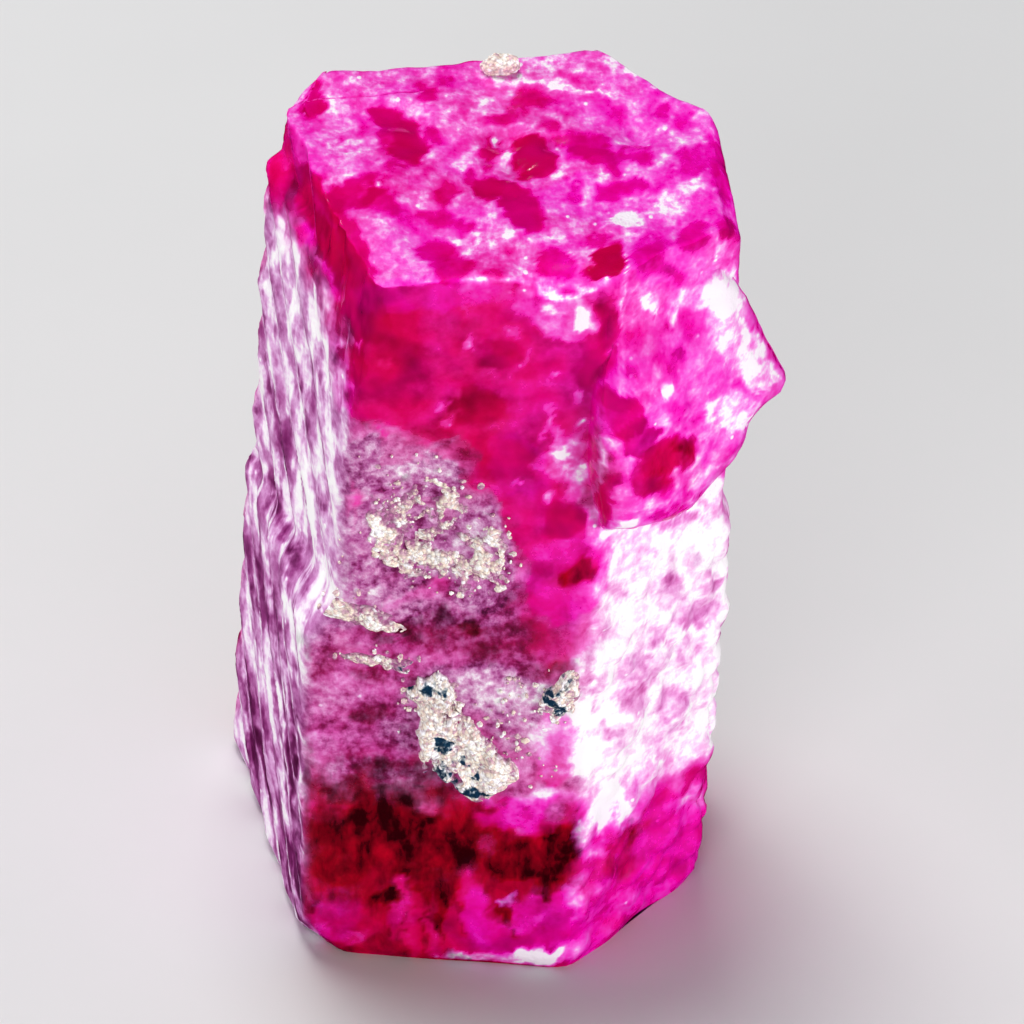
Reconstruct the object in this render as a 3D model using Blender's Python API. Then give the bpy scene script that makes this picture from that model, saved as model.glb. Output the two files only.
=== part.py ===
"""Ruby crystal: one stubby prism with a flat top, a smaller crystal grown out of its right flank,
and six scraps of pale host rock left on its faces. Metres, +Z up, the origin under the middle of
the box around it, resting on the flat end."""

import math

import bmesh
import bpy
import numpy as np
from mathutils import Vector
from mathutils.geometry import delaunay_2d_cdt

MM = 0.001
COLLECTION = "ruby_crystal"
CUTTERS = "ruby_crystal_cutters"

# The prism, in millimetres.
HEIGHT = 25.0
GRID_STEP = 0.66  # about how far apart the points of its skin are
FOOT_BEVEL = 0.18  # how far the outline draws in at the very foot
FOOT_BEVEL_HEIGHT = 0.45
TOP_MARGIN = 0.55  # between the rim of the flat end and the points inside it
PLACE = Vector((0.29, 0.52, 0.0))  # from the axes these sizes are given in to the part's own origin

# Corners seen from above, anticlockwise from the front left edge: where each one is at the foot
# and at the head of its block. The lower block stands proud of the upper one, on a ledge.
LOWER_FOOT_Z, LOWER_HEAD_Z = 0.0, 14.0
UPPER_FOOT_Z, UPPER_HEAD_Z = 10.0, HEIGHT
CORNERS = {
    "front_left": {"lower": ((-5.60, -6.30), (-5.95, -6.70)), "upper": ((-4.90, -6.40), (-4.95, -6.75))},
    "front_right": {"lower": ((2.35, -6.62), (2.45, -6.60)), "upper": ((2.35, -6.50), (2.55, -6.20))},
    "right": {"lower": ((6.08, -1.80), (6.50, -2.10)), "upper": ((6.10, -2.20), (6.20, -2.70))},
    "back_right": {"lower": ((5.50, 3.00), (5.65, 2.80)), "upper": ((5.40, 2.60), (5.40, 2.00))},
    "back": {"lower": ((1.90, 6.60), (1.80, 6.10)), "upper": ((1.60, 5.70), (1.85, 5.45))},
    "back_left": {"lower": ((-6.30, 6.00), (-6.50, 5.20)), "upper": ((-6.20, 4.80), (-6.20, 3.80))},
    "left": {"lower": ((-8.20, 3.75), (-7.90, 3.30)), "upper": ((-7.82, 3.00), (-7.45, 1.50))},
}
NAMES = list(CORNERS)

# The ledge between the blocks: its height and half its slope's height at stations on the outline.
# A station is a corner's number plus a share of the side that follows it.
LEDGE = ((0.0, 12.8, 1.00), (0.3, 12.1, 0.70), (0.74, 10.7, 0.40), (1.0, 11.5, 0.35), (1.5, 12.6, 0.35),
         (2.0, 13.6, 0.40), (3.0, 14.0, 0.50), (4.0, 11.2, 0.50), (5.0, 10.8, 0.45), (6.0, 11.2, 0.40),
         (6.6, 12.4, 0.60), (7.0, 12.8, 1.00))

# The shoulder: near the head the left faces step in by this much.
SHOULDER_Z, SHOULDER_SLOPE, SHOULDER_DEPTH = 22.9, 0.55, 0.48
SHOULDER = ((0.0, 0.0), (3.6, 0.0), (4.3, 0.35), (5.0, 1.0), (6.35, 1.0), (6.8, 0.0), (7.0, 0.0))

# Planes that cut the prism: three points on each, anticlockwise from outside.
CHIPPED_EDGE = ((-3.80, -6.85, HEIGHT), (-5.88, -2.60, HEIGHT), (-5.02, -6.62, 17.4))
CHIPPED_TOP = ((-4.55, -3.80, HEIGHT), (-5.60, -6.60, HEIGHT - 0.62), (-2.20, -5.70, HEIGHT))
RIGHT_BEVEL = ((5.20, 2.90, HEIGHT), (5.35, -2.60, HEIGHT), (6.60, -0.10, HEIGHT - 1.6))

# Low relief of the faces: how high it stands and how long its waves are. A share at stations on the
# outline says how much of it each side has.
LUMP_HEIGHT, LUMP_LENGTH = 0.17, 3.1
# Each wave of the lumps: how many of its lengths lie along x, y and z, and where it starts.
LUMP_WAVES = (((0.9, 0.0, 0.5), 0.6), ((0.0, 1.3, -0.7), 2.1), ((0.8, -0.5, 1.1), 4.0))
LUMP_SWELL = (0.0, -0.4, 0.6)  # a slower wave that the first one comes and goes with
LUMP_SHARE = ((0.0, 0.25), (0.9, 0.4), (1.15, 1.0), (3.0, 1.0), (4.0, 0.8), (5.0, 0.7), (5.6, 0.3),
              (7.0, 0.25))
LUMP_FADE_Z, LUMP_FADE_OVER, LUMP_FADE = 10.0, 4.0, 0.65  # the upper faces are flatter by this share
RIB_HEIGHT, RIB_SPACING = 0.09, 2.3
RIB_SLANT = -0.83  # how far the ribs run along y for each millimetre upwards
RIB_SHARE = ((0.0, 0.0), (4.9, 0.0), (5.2, 0.6), (6.0, 1.0), (6.85, 0.8), (7.0, 0.0))
HOLLOW = {"x": -2.4, "z": 16.3, "radius": 2.6, "stretch": 0.8, "depth": 0.32}
HOLLOW_SHARE = ((0.0, 0.4), (0.05, 1.0), (0.9, 1.0), (1.0, 0.0), (6.95, 0.0), (7.0, 0.4))
CORNER_TURN = 0.08  # share of a side over which the direction out of the skin turns round a corner
SIDE_END = 0.9999  # the last station of a side, just short of the next corner
TOP_STEP = {"x": -3.9, "height": 0.14, "slope": 0.35}
# Slow waves of the flat end: their height, and the turns each millimetre of x and y gives them.
TOP_WAVES = 0.10
TOP_WAVE_LONG, TOP_WAVE_START, TOP_WAVE_CROSS = (1.1, 0.5), 0.4, (-0.5, 0.9)
# Round pits in the flat end: x, y, radius, depth.
TOP_PITS = ((-0.75, 0.55, 0.95, 0.30), (0.75, 0.35, 0.70, 0.24), (-3.55, 1.25, 0.95, 0.22),
            (2.95, 1.20, 1.00, 0.20), (-0.20, -0.95, 0.80, 0.20))

# The side crystal grows out of the right front face. Its outline is given along that face and up,
# anticlockwise from outside; its rings are how far out of the face each one is, and its size.
FACE_START = (2.30, -6.20)
FACE_ANGLE = math.radians(47.0)
SIDE_MIDDLE = (2.2, 19.6)
SIDE_OUTLINE = ((0.00, 16.40), (1.15, 15.95), (2.30, 15.60), (3.20, 15.55), (4.10, 16.00), (5.20, 16.50),
                (5.65, 16.95), (5.80, 17.50), (6.40, 17.85), (7.22, 18.02), (7.36, 18.30), (6.95, 19.15),
                (6.36, 20.35), (5.68, 21.60), (5.00, 22.80), (4.40, 23.35), (3.10, 23.50), (1.80, 23.40),
                (0.45, 22.90), (-0.28, 21.50), (-0.42, 19.90), (-0.34, 18.10))
SIDE_RINGS = ((-2.40, 0.66), (-1.00, 0.84), (0.10, 0.97), (0.46, 1.00), (0.78, 0.93), (1.06, 0.74),
              (1.16, 0.38))
SIDE_PEAK = 1.20
SIDE_LEAN = 0.055  # how much the outer rings drop out of the face for each millimetre upwards

# Scraps of host rock on the front face: x, z, half length, half width, tilt of the long axis,
# thickness. Each lies this far off the crystal.
SCRAP_GAP = 0.07
SCRAPS = {
    "matrix_upper": {"x": -2.00, "z": 15.75, "long": 2.20, "wide": 1.75, "tilt": -36.0, "thick": 0.36},
    "matrix_ledge": {"x": -4.35, "z": 12.95, "long": 1.10, "wide": 0.36, "tilt": -22.0, "thick": 0.30},
    "matrix_rim": {"x": -3.75, "z": 11.35, "long": 0.95, "wide": 0.24, "tilt": -8.0, "thick": 0.26},
    "matrix_lower": {"x": -1.30, "z": 8.80, "long": 2.55, "wide": 1.12, "tilt": -53.0, "thick": 0.85},
    "matrix_corner": {"x": 1.50, "z": 10.35, "long": 0.95, "wide": 0.52, "tilt": 62.0, "thick": 0.42},
}
SCRAP_SECTORS, SCRAP_RINGS = 22, 4
SCRAP_SEED_STEP = 1.7  # how far apart the seeds of one scrap and the next are
# A scrap's ragged rim: its height, and for each wave how many go round, its share and its start per seed.
SCRAP_RAGGED = 0.13
SCRAP_RIM_WAVES = ((3.0, 1.0, 1.0), (5.0, 0.7, 2.3), (8.0, 0.5, 4.1))
SCRAP_RIM_THICK = 0.22  # share of the thickness that is left at the rim
SCRAP_CROWN = 2.5  # how flat its crown is
SCRAP_LUMP, SCRAP_LUMP_WAVES = 0.22, ((2.9, 1.7), (-1.9, 2.3))
CRUMB = {"at": (-0.95, 3.62, HEIGHT + 0.20), "size": (0.72, 0.34, 0.30)}
CRUMB_LUMP, CRUMB_WAVE, CRUMB_START = 0.16, (3.1, 2.7, 4.0), 1.0

CUT_MERGE = 1e-7  # metres within which a cut takes a point as lying on its plane
FLAT_MERGE = 1e-6  # millimetres within which points of the flat end are one

COLOURS = {
    "ruby": ((0.60, 0.02, 0.16, 1.0), 0.22, 0.0),
    "host_rock": ((0.72, 0.70, 0.62, 1.0), 0.85, 0.0),
}


def clear_scene():
    for old in list(bpy.data.objects):
        bpy.data.objects.remove(old, do_unlink=True)


def new_collection(name, hidden=False):
    made = bpy.data.collections.new(name)
    bpy.context.scene.collection.children.link(made)
    made.hide_render = hidden
    return made


def material(name):
    colour, roughness, metallic = COLOURS[name]
    made = bpy.data.materials.new(name)
    made.use_nodes = True
    shader = made.node_tree.nodes["Principled BSDF"]
    shader.inputs["Base Color"].default_value = colour
    shader.inputs["Roughness"].default_value = roughness
    shader.inputs["Metallic"].default_value = metallic
    made.diffuse_color = colour
    return made


def smooth(value):
    """0 below 0, 1 above 1, and a soft S between."""
    value = np.clip(value, 0.0, 1.0)
    return value * value * (3.0 - 2.0 * value)


def along(table, station, column=1):
    """A column of a table of stations, read between its rows."""
    rows = np.array(table)
    return np.interp(station, rows[:, 0], rows[:, column])


def outline(block, station, z):
    """The point of a block's outline at a station and a height, before any relief."""
    side = int(station) % len(NAMES)
    share = station - int(station)
    foot_z, head_z = (LOWER_FOOT_Z, LOWER_HEAD_Z) if block == "lower" else (UPPER_FOOT_Z, UPPER_HEAD_Z)
    rise = (z - foot_z) / (head_z - foot_z)
    ends = []
    for name in (NAMES[side], NAMES[(side + 1) % len(NAMES)]):
        foot, head = (np.array(point) for point in CORNERS[name][block])
        ends.append(foot + (head - foot) * rise)
    return ends[0] + (ends[1] - ends[0]) * share


def outward(station, z):
    """The level direction out of the side at a station. It turns a little way either side of a corner."""
    turns = (-CORNER_TURN, CORNER_TURN)
    before, after = (outline("upper", (station + turn) % len(NAMES), z) for turn in turns)
    run = after - before
    return np.array((run[1], -run[0])) / np.linalg.norm(run)


def lumps(x, y, z):
    """Three crossed waves, from -1 to 1."""
    turns = 2.0 * math.pi / LUMP_LENGTH * np.array((x, y, z))
    waves = [math.sin(np.dot(lengths, turns) + start) for lengths, start in LUMP_WAVES]
    waves[0] *= math.cos(np.dot(LUMP_SWELL, turns))
    return sum(waves) / len(waves)


def relief(station, x, y, z):
    """How far the skin stands out of its flat side, in millimetres."""
    low = 1.0 - LUMP_FADE * smooth((z - LUMP_FADE_Z) / LUMP_FADE_OVER)
    height = LUMP_HEIGHT * along(LUMP_SHARE, station) * low * lumps(x, y, z)
    rib = math.sin(2.0 * math.pi * (y + RIB_SLANT * z) / RIB_SPACING)
    height += RIB_HEIGHT * along(RIB_SHARE, station) * rib
    away = math.hypot(x - HOLLOW["x"], HOLLOW["stretch"] * (z - HOLLOW["z"])) / HOLLOW["radius"]
    height -= HOLLOW["depth"] * along(HOLLOW_SHARE, station) * smooth(1.0 - away)
    return float(height)


def skin(station, z, extra=0.0):
    """A point of the prism's side, in millimetres, standing extra out of it."""
    station = station % len(NAMES)
    ledge_z, ledge_slope = along(LEDGE, station, 1), along(LEDGE, station, 2)
    lower = float(smooth((ledge_z + ledge_slope - z) / (2.0 * ledge_slope)))
    flat = outline("lower", station, z) * lower + outline("upper", station, z) * (1.0 - lower)
    out = relief(station, flat[0], flat[1], z) + extra
    out -= SHOULDER_DEPTH * along(SHOULDER, station) * smooth((z - SHOULDER_Z) / SHOULDER_SLOPE)
    out -= FOOT_BEVEL * (1.0 - min(1.0, z / FOOT_BEVEL_HEIGHT))
    flat = flat + outward(station, z) * out
    return Vector((flat[0], flat[1], z))


def top_height(x, y):
    """The height of the flat end: a low step, slow waves and round pits."""
    height = HEIGHT - TOP_STEP["height"] * float(smooth((x - TOP_STEP["x"]) / TOP_STEP["slope"]))
    long, cross = np.dot(TOP_WAVE_LONG, (x, y)) + TOP_WAVE_START, np.dot(TOP_WAVE_CROSS, (x, y))
    height += TOP_WAVES * math.sin(long) * math.cos(cross)
    for pit_x, pit_y, radius, depth in TOP_PITS:
        height -= depth * float(smooth(1.0 - math.hypot(x - pit_x, y - pit_y) / radius))
    return height


def side_stations():
    """Stations all round the outline, one on each corner and the rest about a grid step apart."""
    found = []
    for side in range(len(NAMES)):
        start, end = outline("upper", side, HEIGHT), outline("upper", side + SIDE_END, HEIGHT)
        count = max(2, round(float(np.linalg.norm(end - start)) / GRID_STEP))
        found += [side + index / count for index in range(count)]
    return found


def side_levels():
    """Heights of the rows of points, with one more at the foot's bevel."""
    count = round((HEIGHT - FOOT_BEVEL_HEIGHT) / GRID_STEP)
    rest = [FOOT_BEVEL_HEIGHT + (HEIGHT - FOOT_BEVEL_HEIGHT) * index / count for index in range(count + 1)]
    return [0.0] + rest


def bridge(mesh, below, above):
    """Faces between two closed rows of as many points."""
    count = len(below)
    for index in range(count):
        after = (index + 1) % count
        mesh.faces.new((below[index], below[after], above[after], above[index]))


def cut(mesh, points):
    """Cuts off what lies outside a plane through three points, and closes the cut."""
    first, second, third = (Vector(point) * MM for point in points)
    normal = (second - first).cross(third - first).normalized()
    found = bmesh.ops.bisect_plane(
        mesh, geom=mesh.verts[:] + mesh.edges[:] + mesh.faces[:],
        plane_co=first, plane_no=normal, dist=CUT_MERGE, clear_outer=True)
    edges = [item for item in found["geom_cut"] if isinstance(item, bmesh.types.BMEdge)]
    bmesh.ops.contextual_create(mesh, geom=edges)


def object_from(mesh, name, finish, collection):
    bmesh.ops.translate(mesh, verts=mesh.verts[:], vec=PLACE * MM)
    bmesh.ops.recalc_face_normals(mesh, faces=mesh.faces[:])
    data = bpy.data.meshes.new(name)
    mesh.to_mesh(data)
    mesh.free()
    if finish:
        data.materials.append(finish)
    made = bpy.data.objects.new(name, data)
    collection.objects.link(made)
    return made


def inside_rim(x, y):
    """Whether a point lies inside the upper outline by the margin."""
    for station in range(len(NAMES)):
        start, end = outline("upper", station, HEIGHT), outline("upper", station + SIDE_END, HEIGHT)
        run = (end - start) / np.linalg.norm(end - start)
        if run[0] * (y - start[1]) - run[1] * (x - start[0]) < TOP_MARGIN:
            return False
    return True


def close_top(mesh, rim):
    """The flat end: triangles between the rim and a staggered grid of points inside it."""
    flat = [point.co.xy / MM for point in rim]
    spread = math.ceil(HEIGHT / GRID_STEP)
    for row in range(-spread, spread + 1):
        for column in range(-spread, spread + 1):
            x, y = (column + 0.5 * (row % 2)) * GRID_STEP, row * GRID_STEP * math.sqrt(0.75)
            if inside_rim(x, y):
                flat.append(Vector((x, y)))
    count = len(rim)
    edges = [(index, (index + 1) % count) for index in range(count)]
    points, _, triangles, came_from, _, _ = delaunay_2d_cdt(flat, edges, [], 1, FLAT_MERGE)
    made = []
    for point, sources in zip(points, came_from):
        if sources and sources[0] < count:
            made.append(rim[sources[0]])
        else:
            made.append(mesh.verts.new((point.x * MM, point.y * MM, top_height(point.x, point.y) * MM)))
    for triangle in triangles:
        mesh.faces.new([made[index] for index in triangle])


def make_prism(finish, collection):
    """The large crystal: a loft of outlines, closed by a flat foot and a pitted head, then chipped."""
    mesh = bmesh.new()
    stations = side_stations()
    rows = [[mesh.verts.new(skin(station, z) * MM) for station in stations] for z in side_levels()]
    for below, above in zip(rows, rows[1:]):
        bridge(mesh, below, above)
    mesh.faces.new(rows[0][::-1])
    for point in rows[-1]:
        point.co.z = top_height(point.co.x / MM, point.co.y / MM) * MM
    close_top(mesh, rows[-1])
    bmesh.ops.recalc_face_normals(mesh, faces=mesh.faces[:])
    for plane in (CHIPPED_EDGE, CHIPPED_TOP, RIGHT_BEVEL):
        cut(mesh, plane)
    return object_from(mesh, "crystal", finish, collection)


def on_face(ahead, out, up):
    """A point given along, out of and up the right front face, in the part's axes."""
    cosine, sine = math.cos(FACE_ANGLE), math.sin(FACE_ANGLE)
    x, y = FACE_START
    return Vector((x + ahead * cosine + out * sine, y + ahead * sine - out * cosine, up))


def make_side_crystal(collection):
    """The smaller crystal: rings of one outline, from inside the prism out to a nearly flat front."""
    mesh = bmesh.new()
    middle_ahead, middle_up = SIDE_MIDDLE
    rows = []
    for out, size in SIDE_RINGS:
        row = []
        for ahead, up in SIDE_OUTLINE:
            rise = (up - middle_up) * size
            lean = SIDE_LEAN * rise * max(0.0, out)
            at = on_face(middle_ahead + (ahead - middle_ahead) * size, out - lean, middle_up + rise)
            row.append(mesh.verts.new(at * MM))
        rows.append(row)
    for inner, outer in zip(rows, rows[1:]):
        bridge(mesh, inner, outer)
    for row, out in ((rows[0], SIDE_RINGS[0][0]), (rows[-1], SIDE_PEAK)):
        peak = mesh.verts.new(on_face(middle_ahead, out, middle_up) * MM)
        for index, point in enumerate(row):
            mesh.faces.new((point, row[(index + 1) % len(row)], peak))
    block = object_from(mesh, "side_crystal", None, collection)
    block.display_type = "WIRE"
    block.hide_render = True
    return block


def join(crystal, block):
    """Grows a block onto the crystal."""
    grown = crystal.modifiers.new("with_" + block.name, "BOOLEAN")
    grown.operation = "UNION"
    grown.solver = "EXACT"
    grown.object = block


def ragged(angle, seed):
    """The outline of a scrap, near 1 all round."""
    waves = [share * math.sin(count * angle + start * seed) for count, share, start in SCRAP_RIM_WAVES]
    return 1.0 + SCRAP_RAGGED * sum(waves)


def front_station(x, z):
    """The station on the front face at x."""
    start, end = (skin(station, z)[0] for station in (0.0, SIDE_END))
    return min(max((x - start) / (end - start), 0.0), SIDE_END)


def scrap_lump(x, z, seed):
    """The lumps of a scrap's upper skin, near 1."""
    first, second = (np.dot(turns, (x, z)) for turns in SCRAP_LUMP_WAVES)
    return 1.0 + SCRAP_LUMP * math.sin(first + seed) * math.cos(second)


def make_scrap(name, sizes, finish, collection, seed):
    """A lens of rock on the front face: an under skin that follows the face and a lumpy upper one."""
    mesh = bmesh.new()
    tilt = math.radians(sizes["tilt"])
    layers = []
    for upper in (False, True):
        rings = []
        for ring in range(SCRAP_RINGS, 0, -1):
            share = ring / SCRAP_RINGS
            row = []
            for sector in range(SCRAP_SECTORS):
                angle = 2.0 * math.pi * sector / SCRAP_SECTORS
                reach = share * ragged(angle, seed)
                long, wide = reach * sizes["long"] * math.cos(angle), reach * sizes["wide"] * math.sin(angle)
                x = sizes["x"] + long * math.cos(tilt) - wide * math.sin(tilt)
                z = sizes["z"] + long * math.sin(tilt) + wide * math.cos(tilt)
                height = SCRAP_GAP
                if upper:
                    dome = SCRAP_RIM_THICK + (1.0 - SCRAP_RIM_THICK) * math.sqrt(1.0 - share ** SCRAP_CROWN)
                    height += sizes["thick"] * dome * scrap_lump(x, z, seed)
                row.append(mesh.verts.new(skin(front_station(x, z), z, height) * MM))
            rings.append(row)
        for outer, inner in zip(rings, rings[1:]):
            bridge(mesh, outer, inner)
        height = SCRAP_GAP + (sizes["thick"] if upper else 0.0)
        x, z = sizes["x"], sizes["z"]
        peak = mesh.verts.new(skin(front_station(x, z), z, height) * MM)
        for index, point in enumerate(rings[-1]):
            mesh.faces.new((point, rings[-1][(index + 1) % SCRAP_SECTORS], peak))
        layers.append(rings[0])
    bridge(mesh, layers[0], layers[1])
    return object_from(mesh, name, finish, collection)


def make_crumb(finish, collection):
    """A crumb of rock at the back edge of the flat end."""
    mesh = bmesh.new()
    bmesh.ops.create_icosphere(mesh, subdivisions=2, radius=1.0)
    for point in mesh.verts:
        x, y, z = point.co
        turn_x, turn_y, turn_z = (turns * place for turns, place in zip(CRUMB_WAVE, (x, y, z)))
        swell = 1.0 + CRUMB_LUMP * math.sin(turn_x + CRUMB_START) * math.cos(turn_y + turn_z)
        point.co = Vector(size * share * swell for size, share in zip(CRUMB["size"], (x, y, z))) * MM
        point.co += Vector(CRUMB["at"]) * MM
    return object_from(mesh, "matrix_crumb", finish, collection)


def main():
    clear_scene()
    parts, cutters = new_collection(COLLECTION), new_collection(CUTTERS, hidden=True)
    ruby, host_rock = material("ruby"), material("host_rock")
    crystal = make_prism(ruby, parts)
    join(crystal, make_side_crystal(cutters))
    for seed, (name, sizes) in enumerate(SCRAPS.items(), start=1):
        make_scrap(name, sizes, host_rock, parts, SCRAP_SEED_STEP * seed)
    make_crumb(host_rock, parts)


main()
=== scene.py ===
import math

import bpy
import mathutils
import numpy as np
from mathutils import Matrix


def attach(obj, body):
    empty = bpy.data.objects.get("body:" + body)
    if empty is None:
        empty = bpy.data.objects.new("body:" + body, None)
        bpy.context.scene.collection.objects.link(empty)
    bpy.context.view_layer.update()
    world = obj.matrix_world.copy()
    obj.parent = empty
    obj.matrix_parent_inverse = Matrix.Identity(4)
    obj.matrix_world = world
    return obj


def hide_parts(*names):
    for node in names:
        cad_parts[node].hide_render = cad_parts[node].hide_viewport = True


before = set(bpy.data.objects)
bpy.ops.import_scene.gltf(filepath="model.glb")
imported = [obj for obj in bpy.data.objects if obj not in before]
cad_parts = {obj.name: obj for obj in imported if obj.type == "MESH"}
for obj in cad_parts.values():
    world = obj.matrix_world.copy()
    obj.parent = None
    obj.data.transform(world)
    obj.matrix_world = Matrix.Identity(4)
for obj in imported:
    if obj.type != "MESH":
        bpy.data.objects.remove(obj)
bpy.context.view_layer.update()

mm = 0.001

# The camera. Patches on the faces are placed as it sees them, in its 1024 by 1024 frame.
viewpoint = {
    "target": (0.29, 0.52, 12.0),   # mm
    "elevation": 37.0,              # degrees above the horizon
    "roll": 2.5,                    # the crystal's head leans right by this
    "distance": 240.0,              # mm
    "pixelsPerMm": 34.0,            # at the target
    "frame": 1024.0,
    "sensor": 36.0,
}


def viewAxes():
    # Right, up and backward directions of the camera: level axes turned by the elevation, then rolled.
    rise, roll = math.radians(viewpoint["elevation"]), math.radians(viewpoint["roll"])
    backward = np.array((0.0, -math.cos(rise), math.sin(rise)))
    level = np.array((1.0, 0.0, 0.0))
    upright = np.cross(backward, level)
    right = level * math.cos(roll) + upright * math.sin(roll)
    up = upright * math.cos(roll) - level * math.sin(roll)
    return right, up, backward


def inView(points):
    # Where points in millimetres fall in the camera's frame: across and down, in its pixels.
    right, up, backward = viewAxes()
    ray = points - np.array(viewpoint["target"]) - backward * viewpoint["distance"]
    depth = -(ray @ backward)
    scale = viewpoint["pixelsPerMm"] * viewpoint["distance"] / depth
    half = viewpoint["frame"] / 2.0
    return np.stack((half + scale * (ray @ right), half - scale * (ray @ up)), axis=1)


def onLevel(across, down, height):
    # The point at a height that the camera sees at a place in its frame, as (x, y) in millimetres.
    right, up, backward = viewAxes()
    eye = np.array(viewpoint["target"]) + backward * viewpoint["distance"]
    half, focal = viewpoint["frame"] / 2.0, viewpoint["pixelsPerMm"] * viewpoint["distance"]
    ray = (across - half) / focal * right - (down - half) / focal * up - backward
    return (eye + ray * (height - eye[2]) / ray[2])[:2]


# Noise, all of it from fixed seeds.

def smooth(value):
    # 0 below 0, 1 above 1 and a soft S between.
    value = np.clip(value, 0.0, 1.0)
    return value * value * (3.0 - 2.0 * value)


def cloud(points, size, seed):
    # Random numbers on a cubic lattice of that cell size, blended by the soft S of each coordinate's share.
    table = np.random.default_rng(seed).uniform(-1.0, 1.0, (32, 32, 32))
    place = points / size + 57.3
    low = np.floor(place).astype(int)
    share = smooth(place - low)
    total = np.zeros(len(points))
    for corner in np.ndindex(2, 2, 2):
        x, y, z = ((low + corner) % 32).T
        total += np.prod(np.where(corner, share, 1.0 - share), axis=1) * table[x, y, z]
    return total


def clouds(points, size, seed, layers=3):
    # Clouds of halving size and height, added up.
    return sum(cloud(points, size / 2 ** i, seed + i) / 2 ** i for i in range(layers))


def grains(points, size, seed):
    # One random point in each lattice cube. Gives the distance to the nearest and to the next one, in
    # cubes, and the nearest one's random number.
    jitter = np.random.default_rng(seed).uniform(0.1, 0.9, (32, 32, 32, 4))
    place = points / size + 57.3
    low = np.floor(place).astype(int)
    near, second, number = np.full((3, len(points)), 9.0)
    for step in np.ndindex(3, 3, 3):
        cube = low + np.array(step) - 1
        x, y, z = (cube % 32).T
        away = np.linalg.norm(cube + jitter[x, y, z, :3] - place, axis=1)
        closer = away < near
        second = np.where(closer, near, np.minimum(second, away))
        number = np.where(closer, jitter[x, y, z, 3], number)
        near = np.minimum(near, away)
    return near, second, number


def along(table, at):
    # The second column of a table, read between its rows.
    rows = np.array(table)
    return np.interp(at, rows[:, 0], rows[:, 1])


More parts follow.
